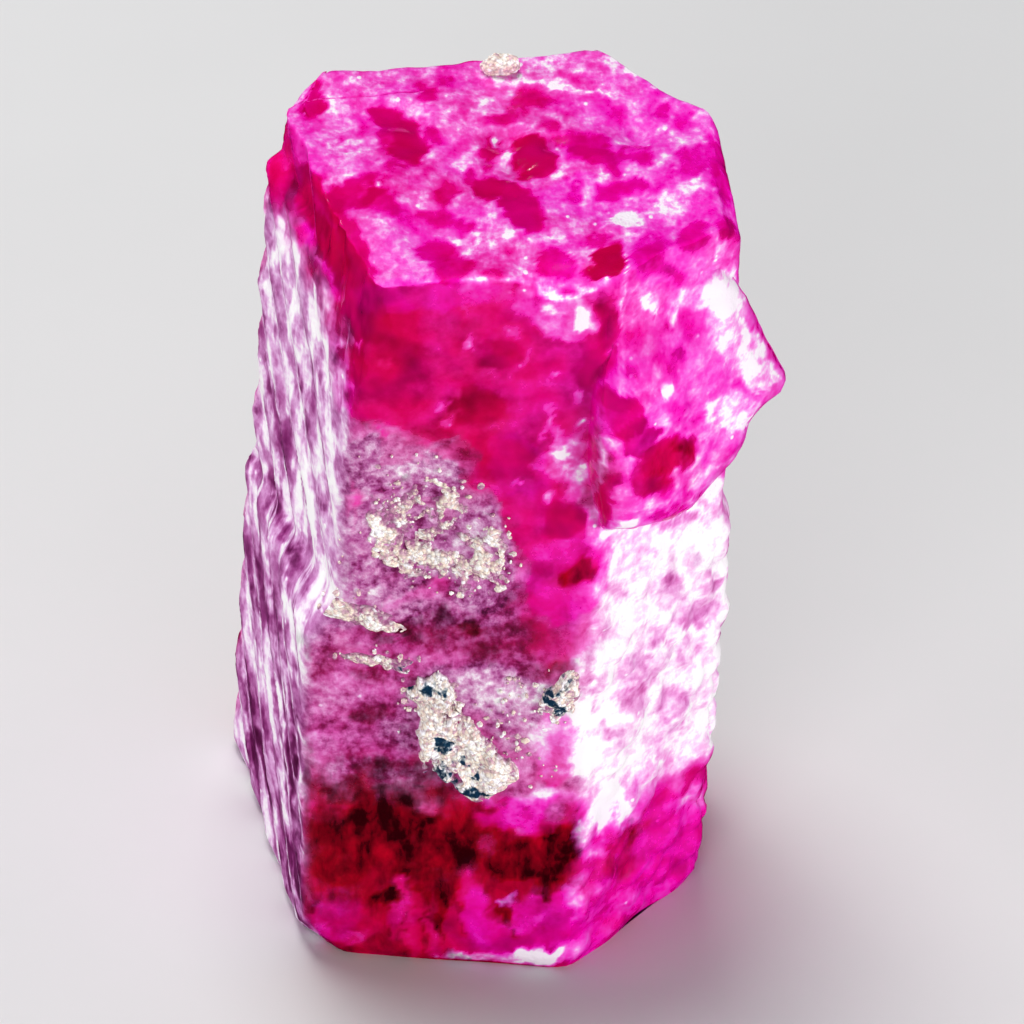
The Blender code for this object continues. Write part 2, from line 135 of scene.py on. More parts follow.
# The big prism, in millimetres. Its corners run anticlockwise from the front left edge.
prism = {
    "height": 25.0,
    "place": (0.29, 0.52),
    "columns": 352, "rows": 190, "footLevels": (0.0, 0.14, 0.3),
    "lowerFoot": ((-5.60, -6.30), (2.35, -6.62), (6.08, -1.80), (5.50, 3.00), (1.90, 6.60), (-6.30, 6.00),
                  (-8.20, 3.75)),
    "lowerHead": ((-5.95, -6.70), (2.45, -6.60), (6.50, -2.10), (5.65, 2.80), (1.80, 6.10), (-6.50, 5.20),
                  (-7.90, 3.30)),
    "upperFoot": ((-4.90, -6.40), (2.35, -6.50), (6.10, -2.20), (5.40, 2.60), (1.60, 5.70), (-6.20, 4.80),
                  (-7.82, 3.00)),
    "upperHead": ((-4.95, -6.75), (2.55, -6.20), (6.20, -2.70), (5.40, 2.00), (1.85, 5.45), (-6.20, 3.80),
                  (-7.45, 1.50)),
    "lowerSpan": (0.0, 14.0), "upperSpan": (10.0, 25.0),
    "ledgeHeight": ((0.0, 12.8), (0.3, 12.1), (0.74, 10.7), (1.0, 11.5), (1.5, 12.6), (2.0, 13.6),
                    (3.0, 14.0), (4.0, 11.2), (5.0, 10.8), (6.0, 11.2), (6.6, 12.4), (7.0, 12.8)),
    "ledgeSlope": ((0.0, 1.0), (0.3, 0.7), (0.74, 0.4), (1.5, 0.35), (3.0, 0.5), (6.0, 0.4), (6.6, 0.6),
                   (7.0, 1.0)),
    "shoulder": ((0.0, 0.0), (3.6, 0.0), (4.3, 0.35), (5.0, 1.0), (6.35, 1.0), (6.8, 0.0), (7.0, 0.0)),
    "shoulderHeight": 22.9, "shoulderSlope": 0.55, "shoulderDepth": 0.48,
    "footBevel": 0.18, "footBevelHeight": 0.45,
    # How far each corner's rounding reaches, in shares of a side, and a factor for the rim's radius.
    "cornerRun": {"lower": ((0.0, 0.025), (0.3, 0.10), (1.6, 0.10), (2.0, 0.07), (6.0, 0.06), (7.0, 0.025)),
                  "upper": ((0.0, 0.04), (1.0, 0.05), (7.0, 0.04))},
    "rimSpread": ((0.0, 0.7), (0.24, 0.7), (0.42, 2.8), (0.85, 3.2), (1.05, 1.6), (1.4, 1.0), (2.0, 0.6),
                  (5.5, 0.5), (7.0, 0.7)),
    "chips": (((-3.80, -6.85, 25.0), (-5.88, -2.60, 25.0), (-5.02, -6.62, 17.4)),
              ((-4.55, -3.80, 25.0), (-5.60, -6.60, 24.38), (-2.20, -5.70, 25.0)),
              ((5.20, 2.90, 25.0), (5.35, -2.60, 25.0), (6.60, -0.10, 23.4)),
              ((-6.00, -4.80, 0.0), (-4.10, -6.40, 0.0), (-5.75, -6.20, 1.3))),
    "chipFinish": ((0.10, 0.22), (0.05, 0.06), (0.07, 0.08), (0.08, 0.10)),   # roughness and softness, mm
    "chipGrooves": 0.05,
    "rimRadius": 0.30, "dipFrom": 23.5,
    "lumpHeight": 0.17, "lumpLength": 3.1,
    "ribHeight": 0.09, "ribSpacing": 2.3, "ribSlant": -0.83,
    "hollow": (-2.4, 16.3), "hollowRadius": 2.6, "hollowDepth": 0.32,
    "stepAt": -3.9, "stepHeight": 0.10, "stepSlope": 0.80, "topWaves": 0.10,
    "pits": ((-0.75, 0.55, 0.95, 0.30), (0.75, 0.35, 0.70, 0.24), (-3.55, 1.25, 0.95, 0.22),
             (2.95, 1.20, 1.00, 0.20), (-0.20, -0.95, 0.80, 0.20)),
    # Finer relief, which only this mesh carries.
    "bubbles": ((489, 153, 13, 0.10), (528, 158, 19, 0.045), (512, 163, 8, 0.05), (486, 186, 14, 0.05),
                (507, 193, 12, 0.05), (526, 216, 17, 0.05), (503, 118, 9, 0.03), (408, 142, 18, 0.03),
                (385, 122, 14, 0.03), (425, 89, 8, 0.03), (612, 222, 14, -0.06), (636, 228, 12, -0.05)),
    "plateHeight": 0.012, "grainHeight": 0.022, "streakHeight": 0.075, "pillowHeight": 0.15,
    "wearDepth": 0.16, "wearWidth": 0.30,
}


def blockOutline(block, station, z):
    # The outline of the lower or upper block: at each height its corners lie on straight lines from the
    # block's foot to its head, and the sides between them are straight.
    foot, head = np.array(prism[block + "Foot"]), np.array(prism[block + "Head"])
    low, high = prism[block + "Span"]
    side = np.floor(station).astype(int) % 7
    share = (station - np.floor(station))[:, None]
    rise = ((z - low) / (high - low))[:, None]
    start = foot[side] + (head[side] - foot[side]) * rise
    after = (side + 1) % 7
    end = foot[after] + (head[after] - foot[after]) * rise
    return start + (end - start) * share


def roundOutline(block, station, z):
    # The outline with its corners rounded: the mean of five of its points along a short run.
    run = along(prism["cornerRun"][block], station)
    return sum(weight / 9.0 * blockOutline(block, (station + step * run) % 7.0, z)
               for weight, step in ((1, -1.0), (2, -0.5), (3, 0.0), (2, 0.5), (1, 1.0)))


def outward(station, z):
    # The level direction out of the upper block's side, turning a little way either side of a corner.
    before, after = (blockOutline("upper", (station + step) % 7.0, z) for step in (-0.08, 0.08))
    run = after - before
    normal = np.stack((run[:, 1], -run[:, 0]), axis=1)
    return normal / np.linalg.norm(normal, axis=1)[:, None]


def coarseRelief(station, x, y, z):
    # Three crossed waves for the lumps, slanted ribs on the left face, and one wide hollow in the front.
    turn = 2.0 * math.pi / prism["lumpLength"]
    waves = (np.sin(turn * (0.9 * x + 0.5 * z) + 0.6) * np.cos(turn * (0.6 * z - 0.4 * y))
             + np.sin(turn * (1.3 * y - 0.7 * z) + 2.1)
             + np.sin(turn * (1.1 * z + 0.8 * x - 0.5 * y) + 4.0)) / 3.0
    right = np.interp(station, (0.0, 0.9, 1.15, 3.0, 4.0, 5.0, 5.6, 7.0),
                      (0.25, 0.4, 1.0, 1.0, 0.8, 0.7, 0.3, 0.25))
    out = prism["lumpHeight"] * right * (1.0 - 0.65 * smooth((z - 10.0) / 4.0)) * waves
    left = np.interp(station, (0.0, 4.9, 5.2, 6.0, 6.85, 7.0), (0.0, 0.0, 0.6, 1.0, 0.8, 0.0))
    ribs = np.sin(2.0 * math.pi * (y + prism["ribSlant"] * z) / prism["ribSpacing"])
    out += prism["ribHeight"] * left * ribs
    away = np.hypot(x - prism["hollow"][0], 0.8 * (z - prism["hollow"][1])) / prism["hollowRadius"]
    front = np.interp(station, (0.0, 0.05, 0.9, 1.0, 6.95, 7.0), (0.4, 1.0, 1.0, 0.0, 0.0, 0.4))
    return out - prism["hollowDepth"] * front * smooth(1.0 - away)


def fineRelief(station, points):
    # What the coarse relief leaves out: slanted sharp streaks on the left face, pillows on the right and
    # back faces, fine grain all over, and bruises along the upright edges.
    x, y, z = points.T
    left = np.interp(station, (0.0, 4.85, 5.15, 6.9, 7.0), (0.0, 0.0, 1.0, 1.0, 0.0))
    across, down = (1.2 * y - z) / 1.56, (y + 1.2 * z) / 1.56
    bent = across + 0.35 * cloud(points, 2.6, 11)
    streak = 1.0 - 2.0 * np.abs(cloud(np.stack((bent / 0.62, x * 0.0, down / 2.2), axis=1), 1.0, 12))
    streak += 0.5 - np.abs(cloud(np.stack((bent / 0.30, x * 0.0, down / 0.9), axis=1), 1.0, 13))
    low = smooth((14.2 - z) / 1.5)
    right = np.interp(station, (0.0, 0.97, 1.03, 4.9, 5.1, 7.0), (0.0, 0.0, 1.0, 1.0, 0.0, 0.0))
    near, second, _ = grains(points + 0.25 * np.stack((cloud(points, 1.1, 14),) * 3, axis=1), 1.15, 15)
    pillow = (second - near) / 0.5
    out = prism["streakHeight"] * 0.5 * left * streak
    out += prism["pillowHeight"] * right * (0.25 + 0.75 * low) * (smooth(pillow) - 0.55)
    rough = 0.35 + 0.65 * smooth((low + left + right) / 1.2)
    out += prism["grainHeight"] * rough * clouds(points, 0.42, 16)
    corner = np.abs(station - np.round(station)) * 8.0
    bruise = np.maximum(0.0, clouds(points, 0.9, 19) + 0.1)
    return out - prism["wearDepth"] * bruise * smooth(1.0 - corner / prism["wearWidth"])


def skin(station, z, extra=0.0, fine=True):
    # The prism's side: the lower outline below the ledge and the upper one above it, blended over the
    # ledge's slope, then moved outward by the relief.
    station, z = np.broadcast_arrays(np.asarray(station, float) % 7.0, np.asarray(z, float))
    slope = along(prism["ledgeSlope"], station)
    lower = smooth((along(prism["ledgeHeight"], station) + slope - z) / (2.0 * slope))[:, None]
    flat = roundOutline("lower", station, z) * lower + roundOutline("upper", station, z) * (1.0 - lower)
    out = coarseRelief(station, flat[:, 0], flat[:, 1], z) + extra
    out -= prism["shoulderDepth"] * along(prism["shoulder"], station) * smooth(
        (z - prism["shoulderHeight"]) / prism["shoulderSlope"])
    out -= prism["footBevel"] * (1.0 - np.minimum(1.0, z / prism["footBevelHeight"]))
    if fine:
        out += fineRelief(station, np.column_stack((flat, z))) * smooth(z / 0.8)
    return np.column_stack((flat + outward(station, z) * out[:, None], z))


def topHeight(x, y):
    # The flat end: a low step, slow waves, wide pits, small glassy bubbles, thin growth plates and grain.
    points = np.column_stack((x, y, x * 0.0))
    z = prism["height"] - prism["stepHeight"] * smooth((x - prism["stepAt"]) / prism["stepSlope"])
    z += prism["topWaves"] * np.sin(1.1 * x + 0.5 * y + 0.4) * np.cos(0.9 * y - 0.5 * x)
    for pitX, pitY, radius, depth in prism["pits"]:
        z -= depth * smooth(1.0 - np.hypot(x - pitX, y - pitY) / radius)
    for across, down, radius, depth in prism["bubbles"]:
        middle = onLevel(across, down, prism["height"]) - np.array(prism["place"])
        away = np.hypot(x - middle[0], y - middle[1]) / (radius / viewpoint["pixelsPerMm"])
        z -= depth * np.sqrt(np.maximum(0.0, 1.0 - away ** 2))
        z += 0.2 * abs(depth) * smooth(1.6 - away) * (away > 1.0)
    level = clouds(points, 2.3, 21) * 4.0
    z += prism["plateHeight"] * (np.floor(level) + smooth((level - np.floor(level)) * 4.0 - 3.0)) * 0.5
    return z + prism["grainHeight"] * clouds(points, 0.40, 24)


def columnStations():
    # Stations all round, as many on each side as its length asks for, one of them on each corner.
    corners = np.array(prism["upperHead"])
    lengths = np.linalg.norm(np.roll(corners, -1, axis=0) - corners, axis=1)
    ends = np.round(np.cumsum(lengths) / lengths.sum() * prism["columns"]).astype(int)
    counts = np.diff(np.concatenate(((0,), ends)))
    return np.concatenate([side + np.arange(count) / count for side, count in enumerate(counts)])


def patchInside(rim):
    # A square grid stretched over a closed rim: each inner point is the blend of the four rim runs on the
    # two lines through it, less the blend of the four corners.
    n = len(rim) // 4
    ring = np.vstack((rim, rim[:1]))
    south, east = ring[:n + 1], ring[n:2 * n + 1]
    north, west = ring[2 * n:3 * n + 1][::-1], ring[3 * n:][::-1]
    u = np.linspace(0.0, 1.0, n + 1)[None, :, None]
    v = np.linspace(0.0, 1.0, n + 1)[:, None, None]
    edges = (1 - v) * south[None] + v * north[None] + (1 - u) * west[:, None] + u * east[:, None]
    corners = ((1 - u) * (1 - v) * south[0] + u * (1 - v) * south[-1]
               + (1 - u) * v * north[0] + u * v * north[-1])
    return edges - corners


def patchIndices(rimStart, innerStart, n):
    # Vertex numbers of that square grid: the rim's own on its border, new ones inside.
    grid = np.zeros((n + 1, n + 1), int)
    grid[1:-1, 1:-1] = innerStart + np.arange((n - 1) ** 2).reshape(n - 1, n - 1)
    grid[0, :] = rimStart + np.arange(n + 1)
    grid[:, -1] = rimStart + n + np.arange(n + 1)
    grid[-1, ::-1] = rimStart + 2 * n + np.arange(n + 1)
    grid[::-1, 0] = rimStart + (3 * n + np.arange(n + 1)) % (4 * n)
    return grid


def gridFaces(index, closed=False):
    # Four-sided faces between the neighbours of a grid of vertex numbers.
    if closed:
        index = np.hstack((index, index[:, :1]))
    around = (index[:-1, :-1], index[:-1, 1:], index[1:, 1:], index[1:, :-1])
    return np.stack(around, axis=-1).reshape(-1, 4)


def behindPlane(points, corners, roughness, softness, seed):
    # Moves what lies outside the plane through three corners straight back onto it, rounding off to it
    # over the softness; the plane itself is pitted by clouds.
    first, second, third = np.array(corners)
    normal = np.cross(second - first, third - first)
    normal /= np.linalg.norm(normal)
    out = (points - first) @ normal + roughness * clouds(points * (1.0, 1.0, 0.45), 0.9, seed, 4)
    outside = 0.5 * (out + np.sqrt(out ** 2 + softness ** 2))
    outside *= smooth((out + 3.0 * softness) / (2.0 * softness))
    return points - normal * outside[:, None], smooth(outside / 0.3)


def meshObject(name, points, faces, extra=(), smoothAngle=38.0):
    # An object at the origin from points in millimetres, with edges sharper than the angle kept sharp.
    data = bpy.data.meshes.new(name)
    data.from_pydata((points * mm).tolist(), [], faces.tolist() + list(extra))
    data.validate()
    data.shade_smooth()
    data.set_sharp_from_angle(angle=math.radians(smoothAngle))
    made = bpy.data.objects.new(name, data)
    bpy.context.scene.collection.objects.link(made)
    return made


def shift(points):
    # From the axes that the sizes are given in to the part's own.
    return points + np.array((*prism["place"], 0.0))


def makePrism():
    # Rows of the skin from foot to head, closed by a stretched grid at each end, then chipped.
    columns, rows = prism["columns"], prism["rows"]
    stations = columnStations()
    low = prism["footLevels"]
    rest = np.linspace(prism["footBevelHeight"], prism["height"], rows - len(low))
    levels = np.concatenate((low, rest))
    station, level = np.tile(stations, rows), np.repeat(levels, columns)
    side = skin(station, level)
    rim = side[-columns:]
    n = columns // 4
    top = patchInside(rim)[1:-1, 1:-1].reshape(-1, 3)
    foot = patchInside(side[:columns])[1:-1, 1:-1].reshape(-1, 3)
    foot[:, 2] = 0.0
    top[:, 2] = topHeight(top[:, 0], top[:, 1])
    rim[:, 2] = topHeight(rim[:, 0], rim[:, 1])
    # The rows under the rim follow it down where it dips.
    share = smooth((level - prism["dipFrom"]) / (prism["height"] - prism["dipFrom"]))[:-columns]
    dip = np.tile(rim[:, 2] - prism["height"], rows - 1)
    side[:-columns, 2] += share * dip
    # The rim is rounded: what lies within a wandering radius of it, below or inward, moves onto a quarter
    # circle, by the angle that its distance gives.
    radius = prism["rimRadius"] * np.clip(0.75 + 0.8 * clouds(side, 1.4, 27), 0.25, 1.5)
    radius *= along(prism["rimSpread"], station)
    ways, rimPlace, rimRadius = outward(station, level), rim[:, :2].copy(), radius[-columns:]
    below = prism["height"] - level
    turn = np.clip(1.0 - below / radius, 0.0, 1.0) * math.pi / 4.0
    side[:, :2] -= ways * (radius * (1.0 - np.cos(turn)))[:, None]
    side[:, 2] += np.where(below < radius, below - radius * (1.0 - np.sin(turn)), 0.0)
    apart = np.linalg.norm(top[:, None, :2] - rimPlace[None], axis=2)
    number = apart.argmin(axis=1)
    reach = rimRadius[number]
    away = np.minimum(apart.min(axis=1), reach)
    turn = (1.0 + away / reach) * math.pi / 4.0
    top[:, :2] -= ways[-columns:][number] * (reach * (1.0 - np.cos(turn)) - away)[:, None]
    top[:, 2] -= reach * (1.0 - np.sin(turn))
    points = np.vstack((side, top, foot))
    for number, corners in enumerate(prism["chips"]):
        points, cut = behindPlane(points, corners, *prism["chipFinish"][number], 31 + 5 * number)
        groove = clouds(points / np.array((0.28, 0.28, 1.6)), 1.0, 35)
        points[:, :2] += prism["chipGrooves"] * (cut * groove)[:, None] * (-0.8, -0.6) * (number == 0)
    sideIndex = np.arange(rows * columns).reshape(rows, columns)
    topIndex = patchIndices((rows - 1) * columns, rows * columns, n)
    footIndex = patchIndices(0, rows * columns + (n - 1) ** 2, n)
    faces = (gridFaces(sideIndex, closed=True), gridFaces(topIndex), gridFaces(footIndex)[:, ::-1])
    return meshObject("ruby_prism", shift(points), np.vstack(faces))


# The side crystal, which grows out of the right front face. Its outline is given along that face and up.
sideCrystal = {
    "start": (2.30, -6.20), "turn": 47.0,
    "middle": (2.2, 19.6),
    "outline": ((0.00, 16.40), (1.15, 15.95), (2.30, 15.60), (3.20, 15.55), (4.10, 16.00), (5.20, 16.50),
                (5.65, 16.95), (5.80, 17.50), (6.40, 17.85), (7.22, 18.02), (7.36, 18.30), (6.95, 19.15),
                (6.36, 20.35), (5.68, 21.60), (5.00, 22.80), (4.40, 23.35), (3.10, 23.50), (1.80, 23.40),
                (0.45, 22.90), (-0.28, 21.50), (-0.42, 19.90), (-0.34, 18.10)),
    "rings": ((-2.40, 0.66), (-1.00, 0.84), (0.10, 0.97), (0.46, 1.00), (0.78, 0.93), (1.06, 0.74),
              (1.16, 0.38), (1.20, 0.004)),
    "lean": 0.055, "flush": 0.50,
    "sectors": 150, "ringCount": 46,
    "bumpHeight": 0.055, "grainHeight": 0.02, "ragged": 0.05,
}


def faceAxes():
    # Along and out of the right front face, as level directions.
    turn = math.radians(sideCrystal["turn"])
    return np.array((math.cos(turn), math.sin(turn), 0.0)), np.array((math.sin(turn), -math.cos(turn), 0.0))


def makeSideCrystal():
    # Rings of one outline: each is the outline scaled about its middle and moved out of the face, its size
    # and distance read off the profile by length. Bumps, grain and a ragged edge move the outer skin.
    box = sideCrystal
    outline = np.array(box["outline"] + box["outline"][:1])
    reach = np.concatenate(((0.0,), np.cumsum(np.linalg.norm(np.diff(outline, axis=0), axis=1))))
    sector = np.arange(box["sectors"]) / box["sectors"] * reach[-1]
    ahead, up = (np.interp(sector, reach, outline[:, axis]) for axis in (0, 1))
    profile = np.array(box["rings"])
    steps = np.hypot(np.diff(profile[:, 0]), 3.0 * np.diff(profile[:, 1]))
    length = np.concatenate(((0.0,), np.cumsum(steps)))
    ring = np.linspace(0.0, length[-1], box["ringCount"])
    out, size = (np.interp(ring, length, profile[:, axis])[:, None] for axis in (0, 1))
    middleAhead, middleUp = box["middle"]
    ahead, rise = middleAhead + (ahead - middleAhead) * size, (up - middleUp) * size
    flush = box["flush"] * smooth((rise - 1.4) / 1.8) * smooth((4.6 - ahead) / 1.8)
    away = out - (box["lean"] * rise + flush) * np.maximum(0.0, out)
    tangent, normal = faceAxes()
    start = np.array((*box["start"], middleUp))
    points = (start + ahead[..., None] * tangent + away[..., None] * normal
              + rise[..., None] * np.array((0.0, 0.0, 1.0))).reshape(-1, 3)
    share = smooth((np.repeat(out[:, 0], box["sectors"]) + 0.3) / 0.5)
    middle = start + middleAhead * tangent
    spread = points - middle
    spread /= np.linalg.norm(spread, axis=1)[:, None]
    ragged = box["ragged"] * clouds(points, 0.8, 48) * share
    bumps = box["bumpHeight"] * clouds(points, 1.3, 41) + box["grainHeight"] * clouds(points, 0.35, 45)
    bumps *= share
    fade = np.minimum(1.0, np.repeat(size[:, 0], box["sectors"]) / 0.25)
    points += normal * bumps[:, None] + spread * (ragged * fade)[:, None]
    rows, columns = box["ringCount"], box["sectors"]
    index = np.arange(rows * columns).reshape(rows, columns)
    ends = np.stack((points[index[0]].mean(axis=0), points[index[-1]].mean(axis=0)))
    fans = []
    for row, end, turn in ((index[0], rows * columns, -1), (index[-1], rows * columns + 1, 1)):
        fan = np.stack((row, np.roll(row, -1), np.full(columns, end)), axis=1)
        fans += fan[:, ::turn].tolist()
    faces = gridFaces(index, closed=True)
    return meshObject("side_crystal", shift(np.vstack((points, ends))), faces, extra=fans)


def grownTogether(base, block):
    # Joins the side crystal onto the prism as one closed skin.
    grown = base.modifiers.new("grown", "BOOLEAN")
    grown.operation, grown.solver, grown.object = "UNION", "EXACT", block
    bpy.context.view_layer.update()
    graph = bpy.context.evaluated_depsgraph_get()
    data = bpy.data.meshes.new_from_object(base.evaluated_get(graph))
    base.modifiers.clear()
    base.data = data
    bpy.data.objects.remove(block)
    return base


# Where the crystal is frosted, stained or dark. Frost runs from 0, clear, to 1, white, its white being in
# places painted highlight; stain is rock dust in the skin; dark is depth without light. Side numbers are
# those of the corners they start from.
skinTone = {
    # Frost by height on each side, read upward. On sides 1 and 2, below the side crystal, the near white is
    # partly whitish skin and partly painted highlight where those faces catch the light.
    "frostAndHighlight": (
        ((0.0, 0.16), (5.4, 0.14), (6.6, 0.32), (11.0, 0.34), (13.0, 0.26), (17.5, 0.20), (25.0, 0.24)),
        ((0.0, 0.42), (4.3, 0.36), (5.5, 0.92), (15.0, 0.98), (17.0, 0.62), (25.0, 0.58)),
        ((0.0, 0.42), (4.3, 0.36), (5.8, 0.84), (13.0, 0.88), (15.0, 0.50), (25.0, 0.42)),
        ((0.0, 0.20), (4.4, 0.22), (6.6, 0.62), (11.0, 0.70), (12.5, 0.36), (25.0, 0.30)),
        ((0.0, 0.18), (5.0, 0.20), (7.0, 0.50), (11.0, 0.62), (12.5, 0.32), (25.0, 0.34)),
        ((0.0, 0.34), (5.0, 0.40), (8.0, 0.72), (12.0, 0.84), (21.0, 0.66), (23.2, 0.36), (25.0, 0.42)),
        ((0.0, 0.36), (4.0, 0.36), (11.0, 0.42), (21.2, 0.50), (23.1, 0.36), (25.0, 0.40)),
    ),
    "topFrost": 0.65, "sideFrost": 0.64, "darkest": 0.92,
    # Heights at which a tone turns into another, and over how much: the ledge, the flat end, the foot of
    # the side crystal and the head of the left face.
    "ledge": (13.0, 1.5), "flatEnd": (23.2, 0.6), "sideFoot": (15.0, 0.4), "leftHead": (23.0, 1.0),
    "sway": 0.8,   # mm by which clouds move the heights
    "viewSway": 7.0, "viewTremble": 4.0,   # px by which they move the patches
    "stain": (
        ((0.0, 0.0), (5.6, 0.0), (7.2, 0.55), (13.0, 0.60), (17.0, 0.10), (25.0, 0.0)),
        ((0.0, 0.0), (4.5, 0.10), (6.5, 0.55), (13.0, 0.62), (15.5, 0.30), (18.0, 0.0), (25.0, 0.0)),
        ((0.0, 0.0), (5.0, 0.10), (7.5, 0.50), (13.0, 0.50), (16.0, 0.0), (25.0, 0.0)),
        ((0.0, 0.0), (6.0, 0.35), (12.0, 0.45), (15.0, 0.05), (25.0, 0.0)),
        ((0.0, 0.0), (6.0, 0.40), (12.0, 0.50), (15.0, 0.10), (25.0, 0.0)),
        ((0.0, 0.15), (8.0, 0.35), (13.0, 0.35), (21.0, 0.25), (23.0, 0.0), (25.0, 0.0)),
        ((0.0, 0.95), (12.0, 1.00), (21.0, 1.00), (22.4, 0.60), (23.0, 0.05), (25.0, 0.0)),
    ),
    "dark": (
        ((0.0, 0.45), (1.5, 0.50), (4.6, 0.66), (5.6, 0.55), (6.8, 0.14), (11.0, 0.16), (13.5, 0.08),
         (16.0, 0.0), (25.0, 0.0)),
        ((0.0, 0.10), (4.0, 0.10), (5.0, 0.0), (25.0, 0.0)),
        ((0.0, 0.15), (4.0, 0.15), (5.0, 0.0), (25.0, 0.0)),
        ((0.0, 0.45), (5.0, 0.50), (7.0, 0.10), (25.0, 0.0)),
        ((0.0, 0.50), (5.0, 0.60), (7.0, 0.10), (25.0, 0.0)),
        ((0.0, 0.25), (5.0, 0.20), (7.0, 0.0), (25.0, 0.0)),
        ((0.0, 0.0), (25.0, 0.0)),
    ),
    "edge": 0.16,   # mm over which one side's tone turns into the next one's
}

